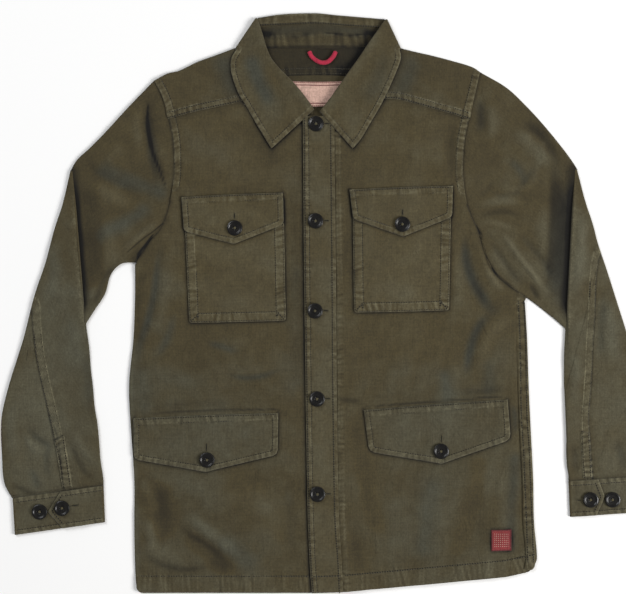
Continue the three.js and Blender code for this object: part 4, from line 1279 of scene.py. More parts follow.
SLEEVE_FOLDS: dict[Side, list[Term]] = {
    Side.RIGHT: [
        Fold([(-222, 228), (-226, 190), (-222, 160), (-219, 135), (-212, 112), (-200, 95)],
             7, -1.5, -0.28, 0.6),
        Fold([(-236, 214), (-240, 180), (-236, 140)], 8, 1.2, 0.16, 0.3),
        Crease([(-226, 214), (-227, 184), (-221, 150), (-211, 124), (-202, 99)], 2.0, 0.8, -0.7),
        Fold([(-312, 133), (-290, 118), (-265, 105), (-228, 90)], 6, -1.2, -0.12, 0.4),
        Fold([(-322, 112), (-296, 98), (-268, 84), (-236, 72)], 9, 1.3, 0.14, -0.2),
        Crease([(-206, 52), (-219, 41), (-233, 31), (-255, 12)], 1.1, 0.8, -0.8),
        Fold([(-204, 58), (-222, 46), (-240, 32), (-262, 14)], 5, 1.3, 0.14, 0.1),
        Crease([(-219, 38), (-229, 24), (-238, 12), (-241, 2)], 1.3, 0.9, -1.1),
        Tint([(-240, 12), (-245, 4)], 6, -0.45, -0.2),
        Tint([(-282, 124), (-246, 108), (-210, 92)], 11, 0.0, 0.9),
        Tint([(-290, 34), (-262, 50), (-232, 68)], 11, 0.04, 0.9),
        Fold([(-275, -12), (-292, -34), (-312, -52)], 6, 1.6, 0.24, 0.3),
        Fold([(-262, 6), (-284, -22), (-304, -66)], 5, -1.2, -0.30, 0.0),
        Fold([(-300, 60), (-297, 20), (-296, -20), (-300, -50)], 9, -0.9, -0.10, -0.7),
        Fold([(-280, 50), (-278, 10), (-282, -18)], 9, 0.9, 0.08, -0.2),
        Fold([(-318, 96), (-312, 50), (-308, 0), (-306, -48)], 9, -0.7, -0.05, -0.3, ends=0.25),
        Fold([(-256, 160), (-270, 140), (-284, 128)], 10, 1.0, 0.10, 0.2),
        Fold([(-390, -214), (-375, -234), (-350, -247)], 4, -1.2, -0.20, 0.1),
        Fold([(-394, -226), (-378, -246), (-358, -258)], 4.5, 1.0, 0.14, 0.4),
        Fold([(-335, -228), (-322, -260), (-310, -280), (-290, -296)], 4, -1.2, -0.20, 0.0),
        Fold([(-410, -292), (-396, -302), (-374, -308)], 3.5, -1.0, -0.22, 0.0),
        Fold([(-356, -236), (-362, -262), (-358, -292)], 4, -0.9, -0.14, 0.2),
        Crease([(-352, -214), (-344, -246), (-340, -290)], 1.2, 0.3, -0.6),
        Fold([(-326, -220), (-312, -248), (-296, -272)], 5, 0.9, 0.12, 0.3),
        Fold([(-330, -60), (-322, -110), (-316, -160)], 12, 0.9, 0.08, 0.4),
        Fold([(-310, -110), (-306, -160), (-306, -210)], 7, -0.8, -0.10, 0.2),
        Fold([(-352, 30), (-350, -20), (-360, -60)], 9, 0.9, 0.10, 0.5),
        Fold([(-404, -180), (-408, -220), (-404, -270)], 8, 0.8, 0.14, 0.5),
        Fold([(-384, -272), (-376, -290), (-372, -306)], 5, -0.9, -0.16, 0.2),
    ],
    Side.LEFT: [
        Fold([(213, 224), (217, 196), (216, 166)], 7, -1.5, -0.26, 0.3),
        Fold([(216, 54), (240, 51), (264, 42)], 3.0, 0.9, 0.18, 0.0),
        Fold([(226, 96), (244, 88), (262, 92), (284, 84)], 3.0, -0.6, -0.10, 0.2),
        Fold([(208, 84), (224, 96), (236, 112)], 3.5, -0.6, -0.10, 0.2),
        Fold([(256, 88), (274, 106), (290, 132)], 4, -0.7, -0.10, 0.3),
        Fold([(238, 100), (262, 97), (290, 104)], 4, 0.7, 0.10, 0.0),
        Fold([(304, 152), (290, 124), (284, 96)], 5, 0.6, 0.08, 0.2),
        Fold([(250, 140), (268, 122), (276, 100)], 6, -0.5, -0.06, 0.5),
        Fold([(228, 214), (232, 186), (230, 156)], 8, 1.2, 0.16, 0.3),
        Fold([(262, 192), (300, 166), (324, 122)], 7, -1.5, -0.26, 0.1),
        Fold([(256, 176), (286, 156), (308, 122)], 9, 1.3, 0.18, 0.4),
        Fold([(203, 60), (226, 64), (250, 67), (278, 58)], 3.2, -1.2, -0.20, 0.0),
        Fold([(202, 74), (228, 79), (256, 82), (280, 74)], 6, 1.2, 0.18, 0.3),
        Fold([(236, 46), (252, 28), (270, 4), (290, -22), (312, -50)], 3.2, 1.6, 0.30, 0.1),
        Fold([(262, 44), (280, 24), (298, 2), (318, -30)], 5, -1.0, -0.12, 0.2),
        Fold([(222, 34), (238, 14), (256, -12), (282, -40)], 5, -1.2, -0.14, 0.2),
        Fold([(226, 22), (240, 0), (258, -20)], 5, 1.0, 0.12, 0.1),
        Crease([(214, 40), (219, 20), (226, 2), (238, -17), (255, -31), (274, -45)], 1.4, 0.8, -1.2),
        Fold([(280, -25), (288, -40), (296, -52)], 4, -1.1, -0.30, 0.0),
        Fold([(334, 112), (327, 60), (324, 10), (322, -40), (320, -72)], 12.0, -0.8, -0.05, 0.5, ends=0.22),
        Fold([(300, 96), (300, 40), (302, -10)], 9, 1.1, 0.12, 0.2),
        Crease([(209, 50), (214, 42), (219, 36)], 1.2, 0.8, -0.6),
        Fold([(348, 80), (350, 30), (344, -20), (338, -60)], 8, 1.2, 0.22, 0.6),
        Fold([(340, -110), (342, -150), (340, -200)], 8, 0.9, 0.12, 0.4),
        Fold([(380, -40), (390, -90), (398, -140)], 9, 0.9, 0.12, 0.5),
        Fold([(384, -30), (376, -80), (376, -140)], 6, -0.8, -0.12, 0.2),
        Fold([(420, -180), (432, -220), (440, -262)], 8, 0.9, 0.14, 0.5),
        Fold([(392, -230), (404, -258), (410, -284)], 6, -0.9, -0.16, 0.2),
        Fold([(336, -236), (342, -262), (338, -286)], 6, -0.9, -0.16, 0.1),
    ],
}


# ------------------------------------------------------------------ body of the jacket


@dataclass
class Body:
    """Back, yoke, fronts and button band."""

    dyes: Dyes
    hem_turn: float = 24.0  # width of the turned hem
    band_stitch: float = 7.0  # second row of stitches from the band's folded edge
    armhole_band: float = 9.0
    yoke_lap: float = 6.5
    side_strip: float = 12.0  # cloth turned round the sides, on the other layer
    corner: float = 8.0  # radius that wear has given the hem's corners
    band_width: float = 42.0
    lobe: tuple[float, float] = (134.0, 50.0)  # the yoke's lobe on a front, along it and up
    back_width: float = 530.0

    def hem_line(self, x: Array) -> Array:
        """Places on the hem at values of X."""
        return np.stack([x, along(HEM, x, axis=0)], axis=1)

    def hem_row(self, first: float, last: float, count: int) -> Array:
        """The line of the hem's stitches between two values of X."""
        return self.hem_line(np.linspace(first, last, count)) + np.array([0.0, self.hem_turn - 2])

    def round_corners(self, cloth: Cloth) -> Cloth:
        """Lifts the cloth's places near the hem's two ends, so that its corners follow a quarter circle.

        The lift is the circle's height at the place's distance from the side, and it fades out over
        twice the radius above the hem.

        Args:
            cloth: a piece that reaches the hem; it is changed.

        Returns:
            The same cloth.
        """
        for places in cloth.places:
            above_hem = places[:, 1] - along(HEM, places[:, 0], axis=0)
            fade = 1 - np.clip(above_hem / (2 * self.corner), 0, 1)
            for (x, _), sign in ((HEM[0], 1), (HEM[-1], -1)):
                inward = np.clip(sign * (places[:, 0] - x), 0, self.corner)
                arc = self.corner - np.sqrt(self.corner**2 - (self.corner - inward) ** 2)
                places[:, 1] += arc * fade
        return cloth

    def ground(self, side: Side) -> Relief:
        """One front's relief: its folds, its hem, the doubled strips beside its seams and painted shade at
        the armpit.

        Args:
            side: which front.

        Returns:
            The relief without the hollows and painted shade round what is sewn on.
        """
        sign = side.sign
        arm = ARMHOLES[side][: YOKE_ROW + 1]
        hem = HEM[:2] + [(20, -440)] if side is Side.RIGHT else [(20, -440), *HEM[2:]]
        low, high = (1.0, self.armhole_band) if side is Side.LEFT else (-self.armhole_band, -1.0)
        shown = [ARM_STRIP_END[side], *arm[5:]]
        pit = arm[:5][::-1] if side is Side.RIGHT else arm[:5]
        x = -150 if side is Side.RIGHT else 160
        terms: list[Term] = [
            Wrinkles(0.20, 3 + sign),
            *BODY_FOLDS[side],
            Seam(hem, -1.0, self.hem_turn - 1, 0.55, (self.hem_turn - 2,), 0.17, 6.2, 0.22, 0.4),
            Seam(shown, *((high, low) if side is Side.RIGHT else (low, high)), 0.6,
                 (sign * self.armhole_band,), 0.30, 6.5, 0.5, 0.75, ditch=0.5),
            Shade(pit, 2.0, 0.6, -0.75 if side is Side.RIGHT else -1.1),
            Tint([(x, -230), (x, -400)], 110, 0.03, 0.30),
            *BODY_TINTS[side],
            Tint([(0.8 * x, 160), (0.9 * x, -60)], 70, 0.05, -0.12),
            Tint([(-120, -60), (-150, -110)], 40, -0.10, 0.0),
        ]
        if side is Side.LEFT:
            seam = [(266, -46), *SIDE_SEAM, (279, -414)]
            terms.append(Seam(seam, -1.0, 9.5, 0.45, (0.5, 8.0), 0.30, 6.5, 0.6, 0.7))
            terms.append(Seam(BAND_SEAM, -1.0, -7.0, 0.0, (), 0.26, 6.5, 0.4, 0.45))
        else:
            rim = [(-240, -428), (-242, -350), (-245, -250), (-248, -165), (-243, -60), (-240, -8)]
            terms.append(Fold(rim, 4.0, -0.5, 0.12, 0.4, ends=0.05))
        return Relief(HIGH, terms, band_lift if side is Side.LEFT else None)

    def relief(self, side: Side) -> Relief:
        """One front's relief with the hollows and painted shade round what is sewn on it.

        Args:
            side: which front.

        Returns:
            The relief.
        """
        names = ("chest_pocket", "chest_flap", "lower_flap")
        fold, edge, _ = COLLAR_LEAVES[side]
        # Painted shadow round the pockets, flaps, collar leaf, band edge, yoke seam and patch.
        shades = [Shade(ON_FRONTS[name, side].outline(), 2.4, 0.45, -1.0, ROUNDED) for name in names]
        shades += [Shade([fold[0], *edge[:6]], 3.4, 0.6, -1.0, (1,)), Shade(BAND_EDGE, 2.6, 0.3, -1.3)]
        seam = [(x, y - self.yoke_lap) for x, y in YOKE_SEAMS[side]]
        shades += [Shade(seam, 5.0, 0.2, -0.35), Shade(PATCH_OUTLINE, 1.6, 0.2, -1.0, (1, 2, 3))]
        return self.ground(side).raised(0.0, shades)

    def front(self, side: Side) -> tuple[Cloth, Relief]:
        """One front, from its edge by the band to its side.

        Rows run from the hem to the yoke seam and the neckline, columns from the side to the middle;
        the grid blends those four lines.

        Args:
            side: which front.

        Returns:
            The cloth and its relief.
        """
        relief = self.relief(side)
        below = Path(SIDES[side]).dense(1.0)
        edge = np.vstack([below[:-1], Path(ARMHOLES[side][: YOKE_ROW + 1]).dense(1.0)])
        top_y = NECKLINES[side][-1][1]
        share = ticks(SIDE_LENGTH, 2.5, 1.7, 26.0, 8.0)
        length, pit_at = share * run(edge)[-1], run(below)[-1]
        start = at_length(edge, length)
        out = -side.sign * left_of(start)
        height = HEM_LOW + (top_y - HEM_LOW) * np.interp(share, [0, 0.69, 1], [0, 0.693, 1])
        if side is Side.RIGHT:
            inset = np.where(length < pit_at, TURN, 0.0)
            x = np.full(len(share), UNDER_BAND)
        else:
            # under the sleeve's lower edge, and under the back where that comes round the side
            under = 6.0 * smooth((start[:, 1] + 60) / 30) * smooth((40 - start[:, 1]) / 20)
            inset = np.where(length < pit_at, TURN + self.side_strip - 4.0, 0.0)
            inset = inset * smooth((BACK_TURN_TOP - start[:, 1]) / 8) - under
            x = along(BAND_SEAM, height) - 4.0
        start = start - out * inset[:, None]
        middle = np.stack([x, height], axis=1)
        middle[0] = self.hem_line(middle[:1, 0])[0]
        ends = start[0], middle[0]
        columns = ticks(abs(ends[1][0] - ends[0][0]), 2.8, 1.4, 12.0, 4.0)
        hem = self.hem_line(ends[0][0] + (ends[1][0] - ends[0][0]) * columns)
        hem[0], hem[-1] = ends
        seam = Path(YOKE_SEAMS[side] + NECKLINES[side][1:], corners=(5,)).shares(columns)
        seam[0], seam[-1] = start[-1], middle[-1]
        grid, marks = relief.over(patch(hem, seam, start, middle, columns, share))
        if side is Side.LEFT:
            seam_x = along(BAND_SEAM, grid[..., 1].ravel()).reshape(grid.shape[:2])
            grid[..., 2] -= 1.35 * smooth((seam_x + 2.2 - grid[..., 0]) / 2.4)
            d = apart(grid, Path(ARMHOLES[side][:4]).dense(4.0), 9.0)
            grid[..., 2] -= SUNK * smooth(1.2 - d / 6.0) * (grid[..., 1] < 40)
            cut = smooth((grid[..., 0] - 262) / 6) * smooth((BACK_TURN_TOP - grid[..., 1]) / 10)
            grid[..., 2] -= SUNK * cut
        # the cloth sinks under the yoke
        d = apart(grid, Path(YOKE_SEAMS[side]).dense(4.0), 10.0)
        grid[..., 2] -= 0.9 * smooth((self.yoke_lap + 2.5 - d) / 4.0)
        cloth = Cloth(f"{side.value}_front").add(grid, marks)
        if side is Side.RIGHT:
            rows = length < pit_at - 0.5
            strip = 1 + self.side_strip * smooth((-45 - start[rows, 1]) / 60)
            cloth.turned(rolled(grid[rows, 0], out[rows], LOW, TURN, strip), marks[rows, 0])
        return cloth, relief

    def make_fronts(self) -> None:
        """Makes both fronts with their rows of stitches."""
        for side in Side:
            cloth, relief = self.front(side)
            front = settle(self.round_corners(cloth).make(self.dyes.twill), "twill", f"front_{side.value}")
            thread = Thread(f"{side.value}_front_stitches")
            arm = Path([ARM_STRIP_END[side], *ARMHOLES[side][5: YOKE_ROW + 1]]).dense(2.0)
            thread.row(beside(arm, side.sign * self.armhole_band), relief)
            if side is Side.LEFT:
                line = Path([(266, -52), *SIDE_SEAM, (278.5, -399)]).dense(2.0)
                for distance in (0.5, 8.0):
                    thread.row(beside(line, distance), relief, 0.1)
            first, last = (-238, -12) if side is Side.RIGHT else (36, 288)
            thread.row(self.hem_row(first, last, 80), relief)
            stitches = settle(thread.make(self.dyes.sewing), "twill")

    def make_band(self, under: Relief) -> Relief:
        """The button band: a strip on the right front's edge, sewn to the left front.

        Args:
            under: the right front's relief.

        Returns:
            The band's relief.
        """
        inner = [(x - 4.5, y) for x, y in BAND_SEAM]
        terms: list[Term] = [
            Seam(BAND_EDGE, -self.band_stitch, 0.5, 0.35, (-self.band_stitch,), 0.30, 8.0, -0.6, 0.7),
            Seam(inner, -0.2, -6.0, 0.15, (-1.0,), 0.26, 8.0, -0.6, 0.45),
            Tint([(5, 190), (10, -440)], 40, 0.22, 0.15),
        ]
        relief = Relief(HIGH + STEP, [*under.terms[:1], *BODY_FOLDS[Side.RIGHT][-1:], *terms])
        height = ticks(SIDE_LENGTH, 2.4, 1.4, 26.0, 4.0) * SIDE_LENGTH + HEM_LOW
        left, right = along(BAND_EDGE, height), along(BAND_SEAM, height) - 0.4
        u = ticks(self.band_width, 2.0, 1.0, 8.0, 8.0)[None, :]
        x = left[:, None] * (1 - u) + right[:, None] * u
        y = np.repeat(height[:, None], u.shape[1], axis=1)
        rise = along(HEM, x[:3].ravel(), axis=0).reshape(3, -1) - HEM_LOW
        y[:3] += rise * np.array([[1.0], [0.6], [0.3]])
        grid, marks = relief.over(np.dstack([x, y]))
        by_seam = np.clip(1 - (right[:, None] - x) / 2.0, 0, 1)
        grid[..., 2] -= 0.75 * (worn(x - left[:, None], 1.0, 2.4) + 0.6 * by_seam)
        band = settle(Cloth("button_band").add(grid, marks).make(self.dyes.twill), "twill", "placket")
        thread = Thread("button_band_stitches")
        edge, seam = Path(BAND_EDGE).dense(2.0), Path(BAND_SEAM).dense(2.0)
        thread.row(beside(edge, -self.band_stitch), relief)
        thread.row(beside(edge, -1.9), relief, -0.05)
        thread.row(beside(seam, 4.5 + 1.0), relief)
        thread.row(self.hem_row(-6, 30, 20), relief)
        stitches = settle(thread.make(self.dyes.sewing), "twill")
        return relief

    def make_back(self) -> None:
        """The back: level on the floor, turned up round the left side to the side seam."""
        share = ticks(SIDE_LENGTH, 4.0, 2.0, 20.0, 6.0)
        lines = {}
        for side in Side:
            arm = Path(ARMHOLES[side][: YOKE_ROW + 2]).dense(1.0)
            edge = np.vstack([Path(SIDES[side]).dense(1.0)[:-1], arm])
            place = at_length(edge, share * run(edge)[-1])
            lines[side] = place, -side.sign * left_of(place)
        (right, out_right), (left, out_left) = lines[Side.RIGHT], lines[Side.LEFT]
        low_right = smooth((-10 - right[:, 1]) / 60)
        right = right - out_right * (0.4 + (TURN + self.side_strip + 1.4) * low_right)[:, None]
        turned = left[:, 1] < BACK_TURN_TOP
        left = left - out_left * np.where(turned, TURN, 0.4)[:, None]
        columns = ticks(self.back_width, 16.0, 6.0, 18.0, 18.0)
        hem = self.hem_line(right[0, 0] + (left[0, 0] - right[0, 0]) * columns)
        hem[0], hem[-1] = right[0], left[0]
        middle, ends = FLOOR_SEAM
        bow = (middle - ends) * (1 - (2 * columns - 1) ** 2)
        seam = right[-1] + (left[-1] - right[-1]) * columns[:, None]
        seam[:, 1] += bow
        flat, marks = level(patch(hem, seam, right, left, columns, share), LOW)
        # Painted shade: the back darkens above Y = 120, where it shows inside the neck.
        marks[..., 0] -= 0.25 * smooth((flat[..., 1] - 120) / 60)
        cloth = Cloth("back_panel").add(flat, marks)
        relief = self.relief(Side.LEFT)
        edge = left[turned]
        inner = edge - out_left[turned] * (self.side_strip + 0.5)
        u = np.linspace(0, 1, 13)[None, :, None]
        top, dye = relief.over(edge[:, None] * (1 - u) + inner[:, None] * u)
        drop = 0.5 * np.clip(1 - u[0, :, 0] * 5, 0, 1) + 0.35 * np.clip(1 - (1 - u[0, :, 0]) * 9, 0, 1)
        top[..., 2] -= drop
        cloth.add(top, dye)
        round_side = rolled(np.column_stack([edge, top[:, 0, 2]]), out_left[turned], LOW)
        round_side[:, -1] = np.column_stack([edge, np.full(len(edge), LOW)])
        cloth.turned(round_side, dye[:, 0])
        back = settle(self.round_corners(cloth).make(self.dyes.twill), "twill", "back")

    def make_yoke(self) -> None:
        """The yoke: a strip on the back, and a lobe folded over each shoulder on to the front."""
        cloth, thread = Cloth("shoulder_yoke"), Thread("shoulder_yoke_stitches")
        back_edges = []
        for side in Side:
            sign = side.sign
            down = Path(YOKE_SEAMS[side]).dense(1.5) - np.array([0.0, self.yoke_lap])
            seam_terms: list[Term] = [
                Wrinkles(0.13, 8),
                Seam([tuple(p) for p in at_length(down, np.linspace(0, run(down)[-1], 7))],
                     0.0, sign * -9.0, 0.35, (sign * -1.6, sign * -8.0), 0.26, 7.5, 0.5, 1.0),
                Seam(ARMHOLES[side][YOKE_ROW:], sign * 1.0, sign * self.armhole_band, 0.6,
                     (sign * self.armhole_band,), 0.28, 7.5, 0.5, 0.75),
                Shade(COLLAR_LEAVES[side][1][2:], 4.0, 0.6, -0.8),
                Tint([(sign * 126, 262), (sign * 119, 246), (sign * 113, 232)], 14, -0.12, 0.7),
            ]
            relief = Relief(HIGH + 0.35, seam_terms)
            shoulder = Path(SHOULDERS[side])
            u = ticks(self.lobe[0], 2.2, 1.5, 12.0, 3.0)
            v = ticks(self.lobe[1], 1.8, 1.3, 10.0, 3.0)
            top = shoulder.shares(u)
            out = left_of(top)
            out = np.where(out[:, 1:] < 0, -out, out)
            start_high = top - out * TURN
            low = at_length(down, u * run(down)[-1])
            arm = Path([tuple(low[0]), *ARMHOLES[side][YOKE_ROW + 1:-1], tuple(start_high[0])]).shares(v)
            neck = Path([tuple(low[-1]), *NECK_SIDES[side][1:-1], tuple(start_high[-1])]).shares(v)
            grid, marks = relief.over(patch(low, start_high, arm, neck, u, v))
            grid[..., 2] -= worn(apart(grid, low[::3], 6.0), 0.7, 2.2)
            cloth.add(grid, marks)
            turn = rolled(grid[-1], out, LOW)
            cloth.turned(turn, marks[-1])
            back_edges.append(turn[:, -1])
            for distance in (1.6, 8.0):
                thread.row(low[::2] + np.array([0.0, distance]), relief)
            arm = Path(ARMHOLES[side][YOKE_ROW:]).dense(2.0)
            thread.row(beside(arm, sign * self.armhole_band)[2:-3], relief)
        neck_x = np.linspace(-108.0, 108.0, 74)[1:-1]
        neck_line = np.column_stack([neck_x, np.full((len(neck_x), 2), (NECK_SEAM + 4.0, LOW))])
        top = np.vstack([back_edges[0], neck_line, back_edges[1][::-1]])
        share = run(top[:, :2]) / run(top[:, :2])[-1]
        middle, ends = FLOOR_SEAM
        first_x, last_x = -207.4, 208.0
        low_x = first_x + (last_x - first_x) * share
        # the strip laps the back's top edge
        low_y = ends + (middle - ends) * (1 - (2 * share - 1) ** 2) - 1.2
        low = np.column_stack([low_x, low_y, np.full(len(share), LOW + 0.5)])
        v = np.linspace(0, 1, 20)[:, None, None]
        strip = low[None] * (1 - v) + top[None] * v
        inside = Relief(LOW, [
            Seam([(-110, 243.5), *BACK_ROW, (110, 243.5)], -1.0, 8.0, 0.35, (0.5, 7.0), 0.2, 8.0, 0.5, 0.4),
            Wrinkles(0.1, 21),
            Shade(LEAF_SHADOW, 14.0, 0.0, -0.7),
        ])
        surface = inside.at(strip[..., :2].reshape(-1, 2))
        strip[1:-1, :, 2] = surface.height.reshape(strip.shape[:2])[1:-1]
        dye = surface.marks().reshape(strip.shape)
        # Painted shade inside the neck: the strip is made darker and less cool.
        dye[..., 0] -= 0.72
        dye[..., 1] -= 0.9
        cloth.add(strip, dye)
        for distance in (0.5, 7.0):
            line = Path([(-92, 245.5), *BACK_ROW, (92, 245.5)]).dense(2.0)
            thread.row(beside(line, distance), inside)
        yoke = settle(cloth.make(self.dyes.twill), "twill", "yoke")
        stitches = settle(thread.make(self.dyes.sewing), "twill")


# ------------------------------------------------------------------ pockets and flaps


@dataclass(frozen=True)
class Panel:
    """A panel sewn flat on a front: four corners and a tip in the middle of its lower edge."""

    top_left: Point
    top_right: Point
    low_left: Point
    low_right: Point
    tip: Point
    corner: float = 3.0  # radius of its lower corners

    def corner_point(self, corner: Point, first: Point, second: Point) -> Point:
        """The middle of a rounded corner: moved in along the bisector of its two sides.

        Args:
            corner: the corner.
            first: a place on one side.
            second: a place on the other.

        Returns:
            The point.
        """
        c, a, b = (np.array(p, float) for p in (corner, first, second))
        way = (a - c) / np.linalg.norm(a - c) + (b - c) / np.linalg.norm(b - c)
        return tuple(c + way * self.corner * 0.29)

    def toward(self, start: Point, end: Point, distance: float) -> Point:
        """The place at a distance from one point towards another."""
        a, b = np.array(start, float), np.array(end, float)
        return tuple(a + (b - a) * distance / np.linalg.norm(b - a))

    def edges(self) -> tuple[Path, Path, Path, Path]:
        """Lower, upper, left and right edges, with rounded lower corners.

        Returns:
            The four paths.
        """
        left = self.corner_point(self.low_left, self.tip, self.top_left)
        right = self.corner_point(self.low_right, self.tip, self.top_right)
        r = self.corner
        low = [left, self.toward(self.low_left, self.tip, r), self.toward(self.tip, self.low_left, 5),
               self.tip, self.toward(self.tip, self.low_right, 5), self.toward(self.low_right, self.tip, r),
               right]
        middle = tuple((np.array(self.top_left) + np.array(self.top_right)) / 2 + np.array([0.0, 0.8]))
        return (
            Path(low, corners=(1, 2, 4, 5)),
            Path([self.top_left, middle, self.top_right]),
            Path([left, self.toward(self.low_left, self.top_left, r), self.top_left], corners=(1,)),
            Path([right, self.toward(self.low_right, self.top_right, r), self.top_right], corners=(1,)),
        )

    def outline(self) -> list[Point]:
        """The free edge, down the left side, along the bottom and up the right side.

        Returns:
            Its points.
        """
        low, _, left, right = self.edges()
        return [self.top_left, left.points[1], left.points[0], *low.points[1:-1], right.points[0],
                right.points[1], self.top_right]

    def hem_line(self) -> Array:
        """The free edge as a dense line."""
        return Path(self.outline(), corners=ROUNDED).dense(1.5)

    def grid(self, step: float, border: float) -> Array:
        """A grid over the panel, finer along its border.

        Args:
            step: spacing in the middle.
            border: width of the finer border.

        Returns:
            Rows by columns by two.
        """
        low, top, left, right = self.edges()
        width = self.low_right[0] - self.low_left[0]
        height = self.top_left[1] - self.low_left[1]
        u, v = ticks(width, step, 1.1, border, border), ticks(height, step, 1.1, border, 3.0)
        return patch(low.shares(u), top.shares(u), left.shares(v), right.shares(v), u, v)


ON_FRONTS: dict[tuple[str, Side], Panel] = {
    ("chest_pocket", Side.RIGHT): Panel((-178, 78), (-46, 82), (-171, -81), (-43, -78), (-107, -79.5)),
    ("chest_pocket", Side.LEFT): Panel((46, 88), (177, 92), (48, -67), (174, -64), (111, -66)),
    ("chest_flap", Side.RIGHT): Panel((-181, 86), (-47, 92), (-178, 41), (-46, 50), (-112, 24), 4.5),
    ("chest_flap", Side.LEFT): Panel((42, 96), (179, 101), (47, 57), (178, 60), (113, 34), 4.5),
    ("lower_flap", Side.RIGHT): Panel(
        (-245, -208), (-53, -201), (-245, -262), (-54, -256), (-150, -279), 6.0
    ),
    ("lower_flap", Side.LEFT): Panel((61, -197), (252, -183), (68, -252), (256, -236), (164, -268), 7.0),
}


@dataclass
class PatchPocket:
    """A chest pocket, sewn down on three sides, with its hem turned and its corners mitred."""

    side: Side
    dyes: Dyes
    border: float = 12.0  # from its edge to its inner row of stitches
    edge_stitch: float = 1.8
    mitre: float = 12.0

    def make(self, ground: Relief) -> Relief:
        """Makes the pocket on its front.

        Args:
            ground: the front's relief without its shades.

        Returns:
            The pocket's relief.
        """
        panel = ON_FRONTS["chest_pocket", self.side]
        rows = self.edge_stitch, self.border
        terms: list[Term] = [
            Seam(panel.outline(), -0.2, self.border, 0.35, rows, 0.26, 7.5, 0.4, 0.8, ROUNDED),
            Fold([(panel.low_left[0] + 34, panel.low_left[1] + 22), (panel.tip[0], panel.tip[1] + 26),
                  (panel.low_right[0] - 34, panel.low_right[1] + 24)], 12, 0.7, 0.05, 0.2),
            Tint([panel.tip, (panel.tip[0], panel.top_left[1])], 150, 0.18, 0.0),
            Shade(ON_FRONTS["chest_flap", self.side].outline(), 2.4, 0.3, -1.0, ROUNDED),
        ]
        relief = ground.raised(ON_PANEL, terms)
        grid, marks = relief.over(panel.grid(1.9, self.border + 2))
        edge = panel.hem_line()
        grid[..., 2] -= worn(apart(grid, edge, 6.0), 0.85, 2.6)
        name = f"{self.side.value}_chest_pocket"
        cloth = Cloth(name).add(grid, marks).make(self.dyes.twill)
        pocket = settle(cloth, "twill", f"chest_pocket_{self.side.value}")
        thread = Thread(name + "_stitches")
        thread.row(beside(edge, self.edge_stitch)[2:-2], relief, -0.15)
        inner = beside(edge, self.border)
        between = (inner[:, 0] > panel.low_left[0] + 9) & (inner[:, 0] < panel.low_right[0] - 9)
        thread.row(inner[between], relief)
        for (x, y), sign in ((panel.low_left, 1), (panel.low_right, -1)):
            diagonal = np.linspace((x + sign * 2.5, y + 2.5), (x + sign * self.mitre, y + self.mitre), 12)
            thread.row(diagonal, relief)
        stitches = settle(thread.make(self.dyes.sewing), "twill")
        return relief


@dataclass
class Flap:
    """A pointed pocket flap with one buttonhole, double stitched along its top."""

    name: str
    side: Side
    dyes: Dyes
    edge_stitch: float = 6.5
    top_rows: tuple[float, float] = (2.0, 8.5)

    def make(self, ground: Relief, rise: float, hole: tuple[Point, Point]) -> Relief:
        """Makes the flap.

        Args:
            ground: the front's relief without its shades.
            rise: its height above the front.
            hole: both ends of its buttonhole.

        Returns:
            The flap's relief.
        """
        panel = ON_FRONTS[self.name, self.side]
        chest = self.name == "chest_flap"
        top = [panel.top_right, panel.edges()[1].points[1], panel.top_left]
        terms: list[Term] = [
            Seam(panel.outline(), -0.2, self.edge_stitch, 0.3, (self.edge_stitch,), 0.24, 7.0, 0.4, 0.75,
                 ROUNDED),
            Seam(top, 0.0, self.top_rows[1], 0.25, self.top_rows, 0.26, 7.5, 0.4, 0.6),
            Tint([panel.tip, (panel.tip[0], panel.top_left[1])], 150, 0.14, 0.0 if chest else 0.25),
        ]
        relief = ground.raised(rise, terms)
        grid, marks = relief.over(panel.grid(1.9, self.edge_stitch + 3))
        edge = panel.hem_line()
        drop = worn(apart(grid, edge, 6.0), 0.9, 2.8) + worn(apart(grid, Path(top).dense(4.0), 6.0), 1.1, 3.0)
        grid[..., 2] -= drop
        name = f"{self.side.value}_{self.name}"
        cloth = Cloth(name).add(grid, marks).make(self.dyes.twill)
        flap = settle(cloth, "twill", f"{self.name}_{self.side.value}")
        thread = Thread(name + "_stitches")
        thread.row(beside(edge, self.edge_stitch)[4:-4], relief)
        for distance in self.top_rows:
            thread.row(beside(Path(top).dense(1.5), distance)[2:-2], relief, -0.1)
        for x, y, sign in ((*panel.top_left, 1), (*panel.top_right, -1)):
            for offset in (2.2, 4.4):
                thread.bars((x + sign * offset, y - 2.0), (x + sign * offset, y - 9.0), relief)
        stitches = settle(thread.make(self.dyes.sewing), "twill")
        opening = Buttonhole(f"{name}_buttonhole", self.dyes).make(hole, relief)
        return relief


